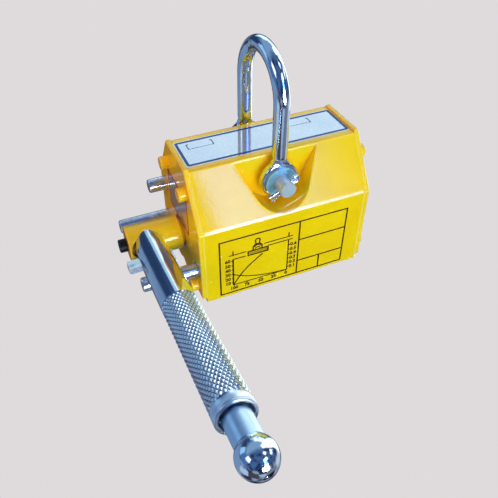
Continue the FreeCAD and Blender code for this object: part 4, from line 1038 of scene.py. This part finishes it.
def studio_world(stage):
    """Pale to the camera, soft to matt surfaces, and a dim blue room with bright panels to mirrors."""
    world = bpy.data.worlds.new("studio")
    world.use_nodes = True
    world.cycles.sampling_method = "NONE"
    world.node_tree.nodes.clear()
    kit = NodeKit(world.node_tree)
    toward = kit.add("ShaderNodeTexCoord").outputs["Generated"]
    parts = kit.add("ShaderNodeSeparateXYZ", {0: toward}).outputs
    height = kit.times(kit.math("ARCSINE", parts["Z"]), 180 / math.pi)
    around = kit.math("ARCTAN2", parts["X"], kit.times(parts["Y"], -1.0))
    around = kit.times(around, 180 / math.pi)
    clutter = kit.ramp(kit.noise(toward, 2.4, 1.0), 0.36, 0.64)
    low = kit.mix(clutter, (0.03, 0.035, 0.06, 1), (0.33, 0.37, 0.48, 1))
    high = kit.mix(clutter, (0.010, 0.024, 0.085, 1), (0.07, 0.14, 0.31, 1))
    behind = kit.times(kit.ramp(parts["Y"], -0.1, 0.35), kit.ramp(height, 26.0, 44.0))
    high = kit.mix(behind, high, (0.24, 0.38, 0.58, 1))
    room = kit.mix(kit.ramp(height, -6.0, 6.0), low, high)
    for left, soft_left, right, soft_right, lowest, highest, soft, colour in ROOM_PANELS:
        inside = kit.ramp(around, left - soft_left, left + soft_left)
        inside = kit.times(inside, kit.ramp(around, right + soft_right, right - soft_right))
        inside = kit.times(inside, kit.ramp(height, lowest - soft, lowest + soft))
        inside = kit.times(inside, kit.ramp(height, highest + soft, highest - soft))
        room = kit.mix(inside, room, colour)
    filled = kit.times(kit.ramp(height, -30.0, 10.0, 0.4, 1.0), stage.fill)
    even = kit.add("ShaderNodeBackground", {"Color": (1, 1, 1, 1), "Strength": filled}).outputs[0]
    mirrored = kit.add("ShaderNodeBackground", {"Color": room}).outputs[0]
    plain = kit.add("ShaderNodeBackground", {"Color": stage.backdrop}).outputs[0]
    seen = kit.add("ShaderNodeLightPath").outputs
    first = kit.add("ShaderNodeMixShader", {0: seen["Is Glossy Ray"], 1: even, 2: mirrored}).outputs[0]
    second = kit.add("ShaderNodeMixShader", {0: seen["Is Camera Ray"], 1: first, 2: plain}).outputs[0]
    kit.add("ShaderNodeOutputWorld", {"Surface": second})
    return world


def panel_light(name, place, size, colour, watts):
    """A soft rectangular light for matt surfaces, which mirrors don't show."""
    data = bpy.data.lights.new(name, "AREA")
    data.shape = "RECTANGLE"
    data.size, data.size_y = size
    data.energy = watts
    data.color = colour
    light = new_object(name, data)
    light.location = place
    light.rotation_mode = "QUATERNION"
    light.rotation_quaternion = (Vector(LIGHT_AIM) - Vector(place)).to_track_quat("-Z", "Y")
    light.visible_glossy = False
    light.visible_camera = False


def lay_floor(stage):
    """A plain floor in the backdrop's own colour, which only the camera sees."""
    shape = bmesh.new()
    half = stage.floor_width / 2
    corners = ((-half, -half), (half, -half), (half, half), (-half, half))
    shape.faces.new([shape.verts.new((x, y, 0)) for x, y in corners])
    mesh = bpy.data.meshes.new("floor")
    shape.to_mesh(mesh)
    shape.free()
    coat_mesh(mesh, Finish("floor_paper").put({
        "Base Color": (0, 0, 0, 1),
        "Roughness": 0.6,
        "Specular IOR Level": 0.0,
        "Emission Color": stage.backdrop,
        "Emission Strength": 1.0,
    }))
    floor = new_object("floor", mesh)
    floor.location.z = CAD_BOX[0].z - 0.2 * MM
    floor.visible_glossy = False
    floor.visible_diffuse = False
    floor.visible_shadow = False


class LIFTER_OT_stage(bpy.types.Operator):
    """Set the floor, the light and the camera"""

    bl_idname = "lifter.stage"
    bl_label = "Stage"

    def execute(self, context):
        scene, stage = context.scene, context.scene.lifter_stage
        scene.view_settings.view_transform = "Standard"
        scene.world = studio_world(stage)
        for name, (place, size, colour) in LIGHTS.items():
            panel_light(f"{name}_light", place, size, colour, getattr(stage, name))
        lay_floor(stage)
        # Camera at the photo's viewing angle
        data = bpy.data.cameras.new("camera")
        data.sensor_width = 36.0
        data.lens = 39.3161
        data.shift_x = 0.05389
        data.shift_y = -0.03745
        data.clip_start = 0.01
        camera = new_object("camera", data)
        camera.location = (-0.09968, -0.21319, 0.21262)
        camera.rotation_mode = "QUATERNION"
        camera.rotation_quaternion = Quaternion((0.892504, 0.411993, -0.064612, -0.171822))
        scene.camera = camera
        return {"FINISHED"}


OPERATORS = (
    LIFTER_OT_stage,
    LIFTER_OT_painted_body,
    LIFTER_OT_plated_steel,
    LIFTER_OT_inner_works,
    LIFTER_OT_return_spring,
    LIFTER_OT_forged_shackle,
    LIFTER_OT_handle_tube,
    LIFTER_OT_knurled_grip,
    LIFTER_OT_front_chart,
    LIFTER_OT_top_label,
    LIFTER_OT_end_sticker,
)


class LIFTER_PT_looks(bpy.types.Panel):
    """Lists the lifter's pieces, sizes and colours"""

    bl_idname = "LIFTER_PT_looks"
    bl_label = "Lifter Looks"
    bl_space_type = "VIEW_3D"
    bl_region_type = "UI"
    bl_category = "Lifter"

    def draw(self, context):
        for operator in OPERATORS:
            self.layout.operator(operator.bl_idname)
        for group_name in GROUPS:
            group = getattr(context.scene, group_name)
            box = self.layout.box()
            for name in group.bl_rna.properties.keys():
                if name not in ("rna_type", "name"):
                    box.prop(group, name)


CLASSES = (*GROUPS.values(), *OPERATORS, LIFTER_PT_looks)


def register():
    """Register the classes and hang the property groups on the scene."""
    for made in CLASSES:
        bpy.utils.register_class(made)
    for name, group in GROUPS.items():
        setattr(bpy.types.Scene, name, PointerProperty(type=group))


def unregister():
    """Undo register."""
    for name in GROUPS:
        delattr(bpy.types.Scene, name)
    for made in reversed(CLASSES):
        bpy.utils.unregister_class(made)


def main():
    """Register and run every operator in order."""
    register()
    bpy.ops.lifter.stage()
    bpy.ops.lifter.painted_body()
    bpy.ops.lifter.plated_steel()
    bpy.ops.lifter.inner_works()
    bpy.ops.lifter.return_spring()
    bpy.ops.lifter.forged_shackle()
    bpy.ops.lifter.handle_tube()
    bpy.ops.lifter.knurled_grip()
    bpy.ops.lifter.front_chart()
    bpy.ops.lifter.top_label()
    bpy.ops.lifter.end_sticker()


if __name__ == "__main__":
    main()
